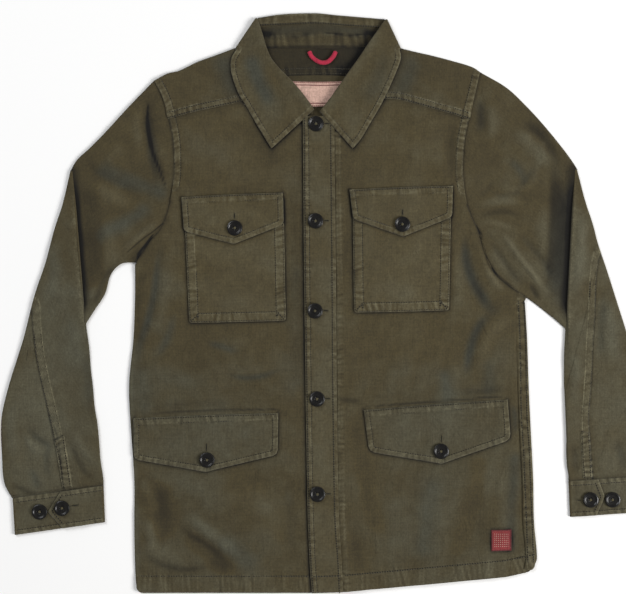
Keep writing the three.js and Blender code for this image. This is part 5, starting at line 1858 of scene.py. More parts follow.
@dataclass
class Buttonhole:
    """A sewn buttonhole: close stitches square to a slit, a thin sheet of painted shade, with a bar at each
    end.
    """

    name: str
    dyes: Dyes

    def make(self, ends: tuple[Point, Point], relief: Relief) -> list[bpy.types.Object]:
        """Makes the hole between two ends, on a relief.

        Args:
            ends: both ends of the slit.
            relief: the cloth that it is cut in.

        Returns:
            The stitches and the slit.
        """
        a, b = np.array(ends[0], float), np.array(ends[1], float)
        length = float(np.hypot(*(b - a)))
        way = (b - a) / length
        aside = quarter(way)
        thread = Thread(self.name, long=1.7, wide=0.5)
        for sign in (-1, 1):
            offset = aside * sign * 1.25
            thread.bars(tuple(a + offset), tuple(b + offset), relief, 0.08)
        for end in (a, b):
            thread.bars(tuple(end - aside * 1.4), tuple(end + aside * 1.4), relief, 0.12)
        stitches = settle(thread.make(self.dyes.sewing), "twill")
        u, v = np.linspace(0, 1, 12), np.linspace(-1, 1, 3)
        wide = 0.55 * np.sin(math.pi * np.clip(u, 0.04, 0.96)) ** 0.5
        plan = a + (b - a) * u[:, None, None] + aside * (v[None, :, None] * wide[:, None, None])
        grid, marks = relief.over(plan)
        grid[..., 2] += CLOTH / 2 + 0.12
        # The slit is a thin sheet in the darkest tone: painted shade in the opening.
        marks[..., 0] = -1.0
        slit = settle(Cloth(self.name + "_slit", 0.2).add(grid, marks).make(self.dyes.inside), "twill")
        return [stitches, slit]


# ------------------------------------------------------------------ collar

COLLAR_LEAVES: dict[Side, tuple[list[Point], list[Point], list[Point]]] = {  # fold, edge, seam
    Side.RIGHT: (
        [(-6, 202), (-20, 221), (-35, 239), (-50, 254), (-63, 270), (-70, 286), (-75, 303), (-81.2, 322.5)],
        [(-62, 151), (-71, 166), (-82, 184), (-94, 205), (-106, 225), (-115, 252), (-115, 270),
         (-107.6, 283.2)],
        [(-7, 197), (-34, 201), (-58, 209), (-76, 219), (-86, 229), (-94, 246), (-100, 266), (-102, 288.5)],
    ),
    Side.LEFT: (
        [(3, 199), (16, 215), (30, 235), (42, 252), (55, 270), (67, 288), (79, 305), (90, 321)],
        [(46, 151), (57, 164), (70, 186), (84, 210), (96, 235), (105, 256), (110, 272), (108.0, 282.6)],
        [(12, 196.5), (34, 200), (53, 208), (73, 218), (87, 231), (94, 246), (100, 266), (102, 288.5)],
    ),
}
LEAF_SHADOW: list[Point] = [(90, 316), (78, 300), (66, 284), (54, 264), (40, 246), (26, 228)]
COLLAR_BACK: list[Point] = [
    (-79.5, 323.6), (-50, 328), (-25, 329.5), (0, 329.5), (25, 327), (50, 325), (88, 321.8),
]


@dataclass
class Collar:
    """A shirt collar folded over its stand, open at the neck."""

    dyes: Dyes
    fall: float = 38.0  # depth of the fall behind the neck
    strip: float = 13.0  # depth of the turned strip inside the fold
    wall: float = 2.4  # between the middles of the two layers at the fold
    stitch: float = 6.0
    depth: float = 62.0  # of a leaf, from the fold to its free edge
    step: float = 1.7  # between the sections of the fall

    def sections(self, top: float, back: float, step: float) -> dict[str, Array]:
        """Sections round the neck ring: the right leaf, the right side, the back and the left again.

        On a leaf the layer's normal points up; round the side it swings half a turn outwards;
        across the back it points down.

        Args:
            top: height of the layer on the leaves.
            back: its height behind the neck.
            step: spacing along the ring.

        Returns:
            Arrays with one entry a section: fold, edge, seam (plan), out (plan), angle.
        """
        parts = {}
        for side in Side:
            fold, edge, seam = (Path(line) for line in COLLAR_LEAVES[side])
            fine = np.linspace(0, 7, 400)
            mean = (run(fold.at(fine)) + run(edge.at(fine))) / 2
            s = np.interp(np.linspace(0, mean[-1], int(mean[-1] / step) + 1), mean, fine)
            way = edge.at(s[-1:]) - fold.at(s[-1:])
            way /= np.linalg.norm(way)
            out = side.sign * quarter(way)
            turn = np.linspace(0, 180, 12)[1:]
            s = np.concatenate([s, np.full(len(turn), 7.0)])
            angle = np.concatenate([np.full(len(s) - len(turn), 90.0), 90.0 - turn])
            part = [fold.at(s), edge.at(s), seam.at(s), np.repeat(out, len(s), axis=0), angle]
            parts[side] = part if side is Side.RIGHT else [values[::-1] for values in part]
        line = Path(COLLAR_BACK).dense(step)
        edge = np.stack([line[:, 0] * 1.12, line[:, 1] - self.fall], axis=1)
        seam = np.stack([line[:, 0] * 1.1, np.full(len(line), NECK_SEAM + 1)], axis=1)
        behind = [line, edge, seam, np.tile([0.0, 1.0], (len(line), 1)), np.full(len(line), -90.0)]
        joined = [np.concatenate(three) for three in zip(parts[Side.RIGHT], behind, parts[Side.LEFT])]
        found = dict(zip(("fold", "edge", "seam", "out", "angle"), joined))
        found["radius"], found["middle"] = np.full(len(line), (top - back) / 2), (top + back) / 2
        return found

    def leaf_relief(self, side: Side) -> Relief:
        """One leaf's relief: rolled up towards the fold, stitched along its free edges.

        Args:
            side: which leaf.

        Returns:
            The relief.
        """
        fold, edge, _ = COLLAR_LEAVES[side]
        sign = side.sign
        free = [fold[0], *edge]
        middle = [tuple((np.array(f) + np.array(e)) / 2) for f, e in zip(fold, edge)]
        terms: list[Term] = [
            Wrinkles(0.10, 12 + sign),
            Fold(fold, 9.0, 1.7, 0.05, 0.2, ends=0.04),
            Fold(middle, 9.0, -0.35, -0.04, 0.0),
            Seam(free, 0.0, sign * self.stitch, 0.25, (sign * self.stitch,), 0.22, 7.5, 0.4, 0.8, (1,)),
            Tint(edge, 90, 0.12, 0.0),
            Tint([(sign * 93, 292), (sign * 90, 264), (sign * 74, 236), (sign * 64, 216)], 12, -0.05,
                 0.25 if sign < 0 else 0.0),
            Tint([(sign * 86, 264), (sign * 80, 242), (sign * 70, 222)], 11, -0.10, 0.8 if sign < 0 else 0.3),
        ]

        def lift(places: Array) -> Array:
            """The band's lift, fading out to the right of it."""
            return band_lift(places) * smooth((places[:, 0] + 60) / 34)

        return Relief(HIGH + ON_PANEL, terms, lift)

    def inside_relief(self) -> Relief:
        """What shows inside the neck behind: puckers, a soft crease, and painted shade in its corners and
        under the leaves.

        Returns:
            The relief, whose base is zero.
        """
        return Relief(0.0, [
            Seam([(-96, 319.5), (-50, 321), (0, 322.5), (50, 319), (92, 317)],
                 -3.0, 8.0, 0.15, (4.5,), 0.22, 9.0,
                 0.2, 0.5),
            Seam([(-84, 287), (-30, 289), (30, 289), (84, 287)], 0.0, 14.0, 0.1, (), 0.24, 12.5, 0.5, 0.4),
            Tint([(-60, 308), (0, 310), (60, 307)], 7.0, -0.14, 0.5),
            Crease([(8, 305), (28, 303.5), (42, 301.5), (60, 303.5)], 1.7, 0.4, -0.5),
            Fold([(-48, 301), (-30, 300), (-12, 304), (6, 303)], 3.0, -0.35, -0.12, 0.2),
            Fold([(20, 309), (40, 307), (60, 309)], 4.0, 0.3, 0.10, 0.2),
            Fold([(46, 301), (54, 294), (56, 287)], 3.0, 0.35, 0.12, 0.2),
            Shade([(-76, 304), (-64, 303)], 4.5, 0.2, -1.0),
            Shade([(66, 305), (80, 300)], 5.0, 0.2, -0.9),
            Shade([(-84, 318), (-78, 300), (-72, 284)], 9.0, 0.3, -0.6),
            Shade(LEAF_SHADOW, 9.0, 0.3, -0.7),
            Shade([(-90, 285), (0, 286), (90, 285)], 2.5, 0.3, -0.6),
            Wrinkles(0.16, 31),
        ])

    def make(self) -> None:
        """Makes the fall with its turned strip, then the stand."""
        ring = self.sections(HIGH + ON_PANEL, LOW, self.step)
        middle, radius = ring["middle"], ring["radius"][0]
        fold, edge = ring["fold"][:, None], ring["edge"][:, None]
        angle = np.radians(ring["angle"])[:, None]
        way = unit(ring["fold"] - ring["edge"])[:, None]
        t = ticks(self.depth, 2.2, 1.2, 3.0, 9.0)[::-1]
        theta = np.linspace(0, math.pi, 9)[1:]
        inward = np.linspace(0, self.strip, 8)[1:]
        plan = [fold + (edge - fold) * t[None, :, None], fold + way * (0.9 * np.sin(theta))[None, :, None],
                fold - way * inward[None, :, None]]
        sunk = 0.9 * smooth((inward - self.strip + 4) / 4)
        layer = [np.full(len(t), radius), radius - self.wall / 2 * (1 - np.cos(theta)),
                 np.full(len(inward), radius - self.wall)]
        plan, layer = np.concatenate(plan, axis=1), np.concatenate(layer)[None, :]
        rise = np.concatenate([np.zeros(len(t)), theta / math.pi, np.ones(len(inward))])[None, :]
        grid = np.dstack([plan + ring["out"][:, None] * (layer * np.cos(angle))[..., None],
                          middle + layer * np.sin(angle)])
        marks = np.zeros(grid.shape)
        flat = plan.reshape(-1, 2)
        for side in Side:
            relief = self.leaf_relief(side)
            surface = relief.at(flat)
            here = (np.sign(plan[..., 0]) == side.sign) | (np.abs(plan[..., 0]) < 1e-9)
            here &= (angle > -0.2)
            weight = np.clip(np.sin(angle), 0, 1) * here
            grid[..., 2] += (surface.height - relief.base).reshape(here.shape) * weight
            marks += surface.marks().reshape(marks.shape) * here[..., None] * (rise < 0.9)[..., None]
        inner = self.inside_relief().at(flat)
        behind = (angle < 0) & (rise > 0.3)
        grid[..., 2] += inner.height.reshape(behind.shape) * behind
        grid[:, -len(inward):, 2] -= sunk * (angle < 0)
        marks += inner.marks().reshape(marks.shape) * behind[..., None]
        # Painted shade on the strip turned in under the fold.
        marks[..., 0] -= 0.5 * (rise > 0.6) * (angle > 0)
        from_edge = (1 - np.concatenate([t, np.zeros(len(theta) + len(inward))])[None, :]) * self.depth
        from_front = np.minimum(np.arange(len(grid)), np.arange(len(grid))[::-1])[:, None] * self.step
        free = np.maximum(worn(from_edge, 1.0, 2.6), worn(from_front, 1.0, 2.6) * (rise < 0.5))
        grid[..., 2] -= 0.8 * free * np.sin(angle)
        fall = settle(Cloth("collar").add(grid, marks).make(self.dyes.twill), "twill", "collar_fall")
        thread = Thread("collar_stitches")
        for side in Side:
            relief = self.leaf_relief(side)
            fold_line, edge_line, _ = COLLAR_LEAVES[side]
            free_line = Path([fold_line[0], *edge_line], corners=(1,)).dense(1.5)
            line = beside(free_line, side.sign * self.stitch)
            corner = int(np.argmin(np.hypot(*(free_line - np.array(edge_line[0])).T)))
            thread.row(line[4:corner - 3], relief)
            thread.row(line[corner + 4:-2], relief)
        inside = self.inside_relief()
        lifted = Relief(LOW + self.wall, inside.terms)
        thread.row(Path([(-80, 315), (-50, 316.5), (0, 318), (50, 314.5), (84, 312.5)]).dense(2.0), lifted)
        stitches = settle(thread.make(self.dyes.sewing), "twill")
        self.make_stand(inside)

    def make_stand(self, inside: Relief) -> None:
        """The stand: under the leaves in front, open to view across the back of the neck.

        Args:
            inside: the relief inside the neck.
        """
        ring = self.sections(HIGH - 0.2, LOW + 1.3, 2.2)
        middle, radius = ring["middle"], ring["radius"][0]
        fold, seam = ring["fold"][:, None], ring["seam"][:, None]
        angle = np.radians(ring["angle"])[:, None]
        length = np.linalg.norm(ring["seam"] - ring["fold"], axis=1)[:, None]
        start = np.where(angle < 0, 5.0, 2.0) / length
        t = start + (1 - start) * np.linspace(0, 1, 22)[None, :]
        plan = fold + (seam - fold) * t[..., None]
        grid = np.dstack([plan + ring["out"][:, None] * (radius * np.cos(angle))[..., None],
                          np.broadcast_to(middle + radius * np.sin(angle), t.shape)])
        surface = inside.at(plan.reshape(-1, 2))
        behind = angle < 0
        grid[..., 2] += surface.height.reshape(t.shape) * behind
        marks = surface.marks().reshape(grid.shape) * behind[..., None]
        # Painted shade on the stand, under the fall.
        marks[..., 0] -= 0.20
        stand = settle(Cloth("collar_band").add(grid, marks).make(self.dyes.twill), "twill", "collar_stand")


# ------------------------------------------------------------------ sleeves

SLEEVE_OUTER: dict[Side, list[Point]] = {
    Side.RIGHT: [(-218, 241), (-250, 208), (-285, 170), (-305, 150), (-320, 136), (-328, 123), (-329.5, 119),
                 (-340, 75), (-350, 45), (-362, 0), (-377, -45), (-391, -100), (-401, -132), (-412, -168),
                 (-421, -210), (-420, -262), (-417, -294), (-407, -314)],
    Side.LEFT: [(216, 252), (250, 232), (275, 209), (300, 182), (326, 150), (343, 126), (345, 120), (355, 82),
                (366, 48), (372, 25), (385, -14), (405, -77), (425, -140), (446, -200), (461, -248),
                (461, -270), (454, -283)],
}
SLEEVE_INNER: dict[Side, list[Point]] = {
    Side.RIGHT: [(-243, 0), (-262, -2), (-276, -16), (-284, -42), (-298, -64), (-308.5, -81), (-309, -85),
                 (-305, -115), (-303, -142), (-300, -168), (-298, -192), (-294, -216), (-292, -236),
                 (-291, -250), (-290, -263), (-287, -283), (-286, -291), (-286, -297)],
    Side.LEFT: [(217, 32), (228, -6), (250, -28), (274, -44), (302, -65), (329, -88), (329.5, -92),
                (328, -125),
                (328, -145), (328, -160), (329, -182), (330, -207), (331, -232), (331, -254), (332, -272),
                (334, -284), (334, -291)],
}
SLEEVE_JOIN = {Side.RIGHT: 0, Side.LEFT: 3}  # the armhole's point where the lower edge starts
PLEAT = 5.5  # the elbow pleat's place among the sections
BACK_SEAMS: dict[Side, list[Point]] = {
    Side.RIGHT: [(-381, -58), (-379, -90), (-375, -125), (-370, -150), (-362, -185), (-355, -215),
                 (-350, -238),
                 (-345, -255), (-341, -280), (-338, -302)],
    Side.LEFT: [(376, 12), (372, -6), (370, -25), (369, -50), (368, -75), (366, -100), (364, -150),
                (362, -180),
                (360, -210), (362, -240), (363, -262), (366, -292)],
}
SEAM_WIDTH = {Side.RIGHT: 10.0, Side.LEFT: 8.0}  # between the back seam's two rows of stitches


@dataclass
class Sleeve:
    """A two-piece sleeve with a deep pleat of slack cloth lying across the elbow."""

    side: Side
    dyes: Dyes
    under_lip: float = 9.0  # how far the pleat's hidden cloth goes under its edge
    lip_rise: float = 2.3
    lip_reach: float = 42.0  # over this the raised cloth sinks back
    lip_bulge: float = 1.3  # how far the lip's turn stands out past its line, in plan
    fold_rise: float = 1.35  # of the hidden cloth's upper layer over its lower one
    valley: float = 1.3  # how deep the cloth beside the lip lies
    valley_reach: float = 14.0
    shade_reach: float = 5.0  # how far the painted shadow beside the lip reaches
    facet: tuple[float, float] = (0.3, 26.0)  # how dark the painted shade on the slope beside it is, and how wide
    strip: float = 14.0  # cloth turned round the inner edge, on the floor
    top_width: float = 215.0

    def sections(self, s: Array) -> tuple[Array, Array, Array, Array]:
        """Ends of the sections at parameters s, moved in by the turn, and the ways outwards.

        Args:
            s: section parameters.

        Returns:
            Outer ends, the ways out from them, inner ends and the ways out from those.
        """
        sign = self.side.sign
        outer, inner = Path(SLEEVE_OUTER[self.side]), Path(SLEEVE_INNER[self.side])
        ends = []
        for path, turn in ((outer, sign), (inner, -sign)):
            last = len(path.points) - 1
            ahead, behind = path.at(np.clip(s + 0.05, 0, last)), path.at(np.clip(s - 0.05, 0, last))
            out = turn * quarter(unit(ahead - behind))
            ends += [path.at(s) - out * TURN, out]
        return ends[0], ends[1], ends[2], ends[3]

    def place(self, s: Array, u: Array) -> Array:
        """Places in plan on sections s at shares u, a row of shares for each section.

        The first sections bend into the armhole: its bow above the straight line between its ends
        is added, times one minus a quarter of s, squared.

        Args:
            s: section parameters.
            u: shares from the outer edge to the inner.

        Returns:
            Sections by shares by two.
        """
        outer, _, inner, _ = self.sections(s)
        seam = Path(ARMHOLES[self.side][SLEEVE_JOIN[self.side]:]).dense(1.0)
        arm = beside(seam, -self.side.sign * 0.3)[::-1]
        share = run(arm) / run(arm)[-1]
        on_seam = np.stack([np.interp(u, share, arm[:, k]) for k in range(2)], axis=2)
        chord = arm[0] * (1 - u[..., None]) + arm[-1] * u[..., None]
        weight = np.clip(1 - s / 4, 0, 1)[:, None, None] ** 2
        straight = outer[:, None] * (1 - u[..., None]) + inner[:, None] * u[..., None]
        return straight + (on_seam - chord) * weight

    def back_share(self, s: Array) -> Array:
        """Share of each section at which the back seam crosses it, or zero before it does.

        Args:
            s: section parameters.

        Returns:
            One share for each section.
        """
        outer, _, inner, _ = self.sections(s)
        line = Path(BACK_SEAMS[self.side]).dense(1.5)
        found = np.zeros(len(s))
        for k in range(len(s)):
            way = inner[k] - outer[k]
            off = line - outer[k]
            side = way[0] * off[:, 1] - way[1] * off[:, 0]
            cross = np.nonzero(np.sign(side[:-1]) != np.sign(side[1:]))[0]
            if len(cross):
                i = cross[0]
                f = side[i] / (side[i] - side[i + 1])
                here = off[i] * (1 - f) + off[i + 1] * f
                found[k] = np.clip(here @ way / (way @ way), 0, 1)
        return found

    def pleat_line(self) -> Array:
        """The line of the elbow pleat's edge, from the outer edge of the sleeve to the inner."""
        return self.place(np.array([PLEAT]), np.linspace(0, 1, 60)[None, :])[0]

    def pleat_fade(self, u: Array) -> Array:
        """How deep the pleat is at shares of the width: shallow at the outer edge, gone at the inner."""
        return (0.10 + 0.90 * smooth(u / 0.30)) * smooth((1.0 - u) / 0.16)

    def relief(self) -> Relief:
        """The sleeve's folds, the strip beside its back seam and the hollow at the armhole, with painted
        shade at the armhole and the cuff.

        Returns:
            The relief.
        """
        sign = self.side.sign
        seam = BACK_SEAMS[self.side]
        width = SEAM_WIDTH[self.side]
        edge = 1.2
        inward = -sign
        cuff = [SLEEVE_OUTER[self.side][-1], SLEEVE_INNER[self.side][-1]]
        cool = 0.55 if self.side is Side.RIGHT else 0.35
        arm = ARMHOLES[self.side][SLEEVE_JOIN[self.side]:]
        terms: list[Term] = [
            Wrinkles(0.15, 5 + 2 * sign),
            *SLEEVE_FOLDS[self.side],
            Seam(seam, inward * edge * 0.2, inward * (width + 1.5), 0.4, (inward * edge, inward * width),
                 0.28, 6.5, 0.4, 1.1, ditch=0.7),
            Shade(arm, 2.2, 0.7, -0.6),
            Shade(cuff, 3.0, 0.6, -0.5),
            Tint([(x * 0.5 + X * 0.5, y * 0.5 + Y * 0.5) for (x, y), (X, Y) in
                  zip(SLEEVE_OUTER[self.side][7:], SLEEVE_INNER[self.side][7:])], 75.0, 0.22, cool),
        ]
        if self.side is Side.RIGHT:
            terms.append(Tint([(-230, 200), (-290, 100), (-290, 0)], 60, -0.08, -0.25))
            terms.append(Tint([(-385, -120), (-375, -260)], 45, 0.16, 0.1))
        return Relief(HIGH, terms)

    def stations(self) -> tuple[Array, Array]:
        """Section parameters down the sleeve, and how far along the pleat's hidden cloth each is.

        The second value is zero on open cloth; from zero to one it runs under the lip, from one to
        two back again, and from two to three round the lip.

        Returns:
            The parameters and the lengths.
        """
        last = len(SLEEVE_OUTER[self.side]) - 1
        fine = np.linspace(0, last, 1200)
        outer, _, inner, _ = self.sections(fine)
        mean = run((outer + inner) / 2)
        mean += 0.35 * run(outer)
        upper = fine <= PLEAT
        to_pleat, total = mean[upper][-1], mean[-1]
        above = np.interp(ticks(to_pleat, 3.0, 1.4, 6.0, 16.0) * to_pleat, mean, fine)
        above[-1] = PLEAT
        rest = total - to_pleat
        below = np.interp(to_pleat + ticks(rest, 3.0, 1.3, 16.0, 6.0) * rest, mean, fine)
        below[0], below[-1] = PLEAT, last
        parts = ((0, 5), (1, 5), (2, 7))
        fold = np.concatenate([first + np.linspace(0, 1, count)[1:] for first, count in parts])
        s = np.concatenate([above, np.full(len(fold), PLEAT), below[1:]])
        hidden = np.concatenate([np.zeros(len(above)), fold, np.zeros(len(below) - 1)])
        return s, hidden

    def top_grid(self, relief: Relief, s: Array, hidden: Array, u: Array) -> tuple[Array, Array]:
        """The upper layer on sections s at shares u, with the pleat folded into it.

        Args:
            relief: the sleeve's relief.
            s: section parameters.
            hidden: how far along the pleat's hidden cloth each is.
            u: shares across, a row for each section.

        Returns:
            The layer and its marks, both sections by shares by three.
        """
        plan = self.place(s, u)
        line = self.pleat_line()
        normals = self.side.sign * left_of(line)
        ahead = np.stack([np.interp(u, np.linspace(0, 1, 60), normals[:, k]) for k in range(2)], axis=2)
        fade = self.pleat_fade(u)
        h = hidden[:, None]
        depth = np.where(h <= 1, h, np.where(h <= 2, 2 - h, 0.0)) * self.under_lip
        round_lip = np.clip(h - 2, 0, 1)
        bulge = -self.lip_bulge * np.sin(math.pi * round_lip)
        plan = plan + ahead * ((depth + bulge) * fade)[..., None]
        surface = relief.at(plan.reshape(-1, 2))
        z = surface.height.reshape(u.shape)
        marks = surface.marks().reshape(u.shape + (3,))
        d = apart(plan, line[::2])
        lower = (s[:, None] < PLEAT) | ((h > 0) & (h <= 1))
        bend = 0.35  # share of the way back over which the hidden cloth turns up
        swing = math.pi * np.clip(h - 1, 0, 1) / bend * (h < 1 + bend) + math.pi * (h >= 1 + bend)
        turn_up = 0.5 - 0.5 * np.cos(swing)
        z -= self.valley * fade * np.exp(-((d / self.valley_reach) ** 2)) * (lower | (h > 0))
        z = above(z, UNDERNEATH)
        z += np.where(h > 1, self.fold_rise * fade * turn_up, 0.0)
        past_fold = np.arange(len(s))[:, None] > np.argmax(hidden)
        top = (s[:, None] > PLEAT) | ((s[:, None] == PLEAT) & (h == 0) & past_fold)
        lip = (self.lip_rise + self.valley) * fade
        z += np.where(h > 2, (lip - self.fold_rise * fade) * (0.5 - 0.5 * np.cos(math.pi * round_lip)), 0.0)
        z += np.where(top & (h == 0), self.lip_rise * fade * np.exp(-d / self.lip_reach), 0.0)
        # Painted shadow beside the pleat's lip: black close to it and on the hidden cloth, darker over the
        # slope beside it.
        dark = (0.45 + 0.55 * fade) * smooth((1.0 - u) / 0.10)
        strength, wide = self.facet
        slope = strength * fade * smooth((wide - d) / (0.3 * wide)) * smooth((1.0 - u) / 0.3)
        shade = dark * np.where(lower, np.maximum(np.exp(-((d / self.shade_reach) ** 2)), slope), 0.0)
        shade = np.where((h > 0) & (h < 2.2), dark, shade)
        marks[..., 0] -= 1.5 * shade
        # The lip's paler top is put in the wear mark: a painted highlight.
        marks[..., 2] += 0.35 * fade * top * np.exp(-((d / 5.0) ** 2))
        return np.dstack([plan, z]), marks

    def make(self) -> None:
        """Makes the top and under sleeves, joined at the back seam and underneath."""
        side = self.side.value
        relief = self.relief()
        s, hidden = self.stations()
        back = self.back_share(s)
        outer, out_outer, inner, out_inner = self.sections(s)
        width = np.linalg.norm(inner - outer, axis=1)
        t = ticks(self.top_width, 2.6, 1.6, 6.0, 4.0)[None, :]
        u = back[:, None] + (1 - back[:, None]) * t
        grid, marks = self.top_grid(relief, s, hidden, u)
        edge_row = back > 0
        near = (u - back[:, None]) * width[:, None]
        grid[..., 2] += np.where(edge_row[:, None], 0.55 - worn(near, 0.7, 2.0), 0.0)
        lengths = np.cumsum(np.concatenate([[0], np.linalg.norm(np.diff(grid[:, 40], axis=0), axis=1)]))
        across = (u - 0.5) * width[:, None]
        grain = np.dstack([across, np.repeat(-lengths[:, None], u.shape[1], axis=1)])
        cloth = Cloth(f"{side}_top_sleeve").add(grid, marks, grain)
        # under the body's edge at the armhole
        tuck = grid[0] + np.column_stack([self.tuck_way(grid[0, :, :2]) * 3.5, np.full(grid.shape[1], -0.7)])
        cloth.add(np.stack([tuck, grid[0]]), np.stack([marks[0], marks[0]]))
        self.tuck_end(cloth, grid, marks)
        inner_turn = rolled(grid[:, -1], out_inner, LOW, TURN, np.minimum(self.strip, 0.3 * width))
        cloth.turned(inner_turn, marks[:, -1])
        before = ~edge_row | (np.roll(~edge_row, 1) & (np.arange(len(s)) > 0))
        outer_turn = rolled(grid[before, 0], out_outer[before], LOW, TURN, 6.0)
        cloth.turned(outer_turn, marks[before, 0])
        top = settle(cloth.make(self.dyes.twill), "twill", f"sleeve_top_{side}")
        under = self.make_under(relief, s[hidden == 0], back[hidden == 0])
        thread = Thread(f"{side}_sleeve_stitches")
        seam = Path(BACK_SEAMS[self.side]).dense(1.5)
        stop = int(len(seam) * 0.72)
        for distance in (1.2, SEAM_WIDTH[self.side]):
            thread.row(beside(seam, -self.side.sign * distance)[26:stop], self.raised_height(relief))
        stitches = settle(thread.make(self.dyes.sewing), "twill")

    def make_under(self, relief: Relief, s: Array, back: Array) -> bpy.types.Object:
        """The under sleeve: level on the floor, and turned up to the back seam.

        Args:
            relief: the sleeve's relief.
            s: section parameters, without the pleat's hidden cloth.
            back: share of each section at which the back seam crosses it.

        Returns:
            The object.
        """
        side = self.side.value
        cloth = Cloth(f"{side}_under_sleeve")
        outer, out_outer, inner, _ = self.sections(s)
        width = np.linalg.norm(inner - outer, axis=1)
        after = back > 0
        start = np.where(after, 0.0, 6.4 / width)
        end = 1 - np.minimum(self.strip, 0.3 * width) / width - 0.6 / width
        t = np.linspace(0, 1, 16)[None, :]
        floor, dye = level(self.place(s, start[:, None] + (end - start)[:, None] * t), LOW)
        cloth.add(floor, dye)
        rows = np.nonzero(after)[0]
        rows = np.concatenate([rows[:1] - 1, rows])
        t = np.linspace(0, 1, 26)[None, :]
        up = np.clip(back[rows] + 5.0 / width[rows], 0, 1)[:, None] * t
        grid, marks = self.top_grid(relief, s[rows], np.zeros(len(rows)), up)
        past_seam = (up - back[rows, None]) * width[rows, None]
        grid[..., 2] -= smooth(past_seam / 1.5 + 0.9)
        # Painted shade just past the back seam, where the top sleeve laps the under one.
        marks[..., 0] -= 0.45 * np.exp(-((past_seam / 2.2) ** 2))
        cloth.add(grid, marks)
        self.tuck_end(cloth, grid, marks)
        turn = rolled(grid[:, 0], out_outer[rows], LOW)
        turn[:, -1] = floor[rows, 0]
        cloth.turned(turn, marks[:, 0])
        return settle(cloth.make(self.dyes.twill), "twill", f"sleeve_under_{side}")

    def tuck_end(self, cloth: Cloth, grid: Array, marks: Array) -> None:
        """Carries an upper layer on past its last row, down between the two layers of the cuff.

        Args:
            cloth: the piece that the rows are added to.
            grid: the layer, whose last row lies at the cuff.
            marks: the layer's marks.
        """
        way = unit(grid[-1, :, :2] - grid[-2, :, :2])
        rows = [grid[-1]]
        for reach, drop in ((1.2, 0.5), (4.0, 1.2)):
            rows.append(grid[-1] + np.column_stack([way * reach, np.full(len(way), -drop)]))
        cloth.add(np.stack(rows), np.stack([marks[-1]] * len(rows)))

    def tuck_way(self, places: Array) -> Array:
        """Ways from the armhole's line in under the body."""
        return -self.side.sign * np.abs(left_of(places)) * np.array([1.0, 0.0])

    def raised_height(self, relief: Relief) -> Relief:
        """The relief where the top sleeve laps the under sleeve, with the pleat's raised cloth.

        Args:
            relief: the sleeve's relief.

        Returns:
            The raised relief.
        """
        line = self.pleat_line()
        reach, rise = self.lip_reach, self.lip_rise

        def lift(places: Array) -> Array:
            """The rise of the upper layer, which falls away from the pleat."""
            d, _ = nearest(places, line[::2])
            return 0.5 + rise * 0.8 * np.exp(-np.abs(d) / reach)

        return Relief(relief.base, relief.terms, lift)


# ------------------------------------------------------------------ cuffs, vents and buttons


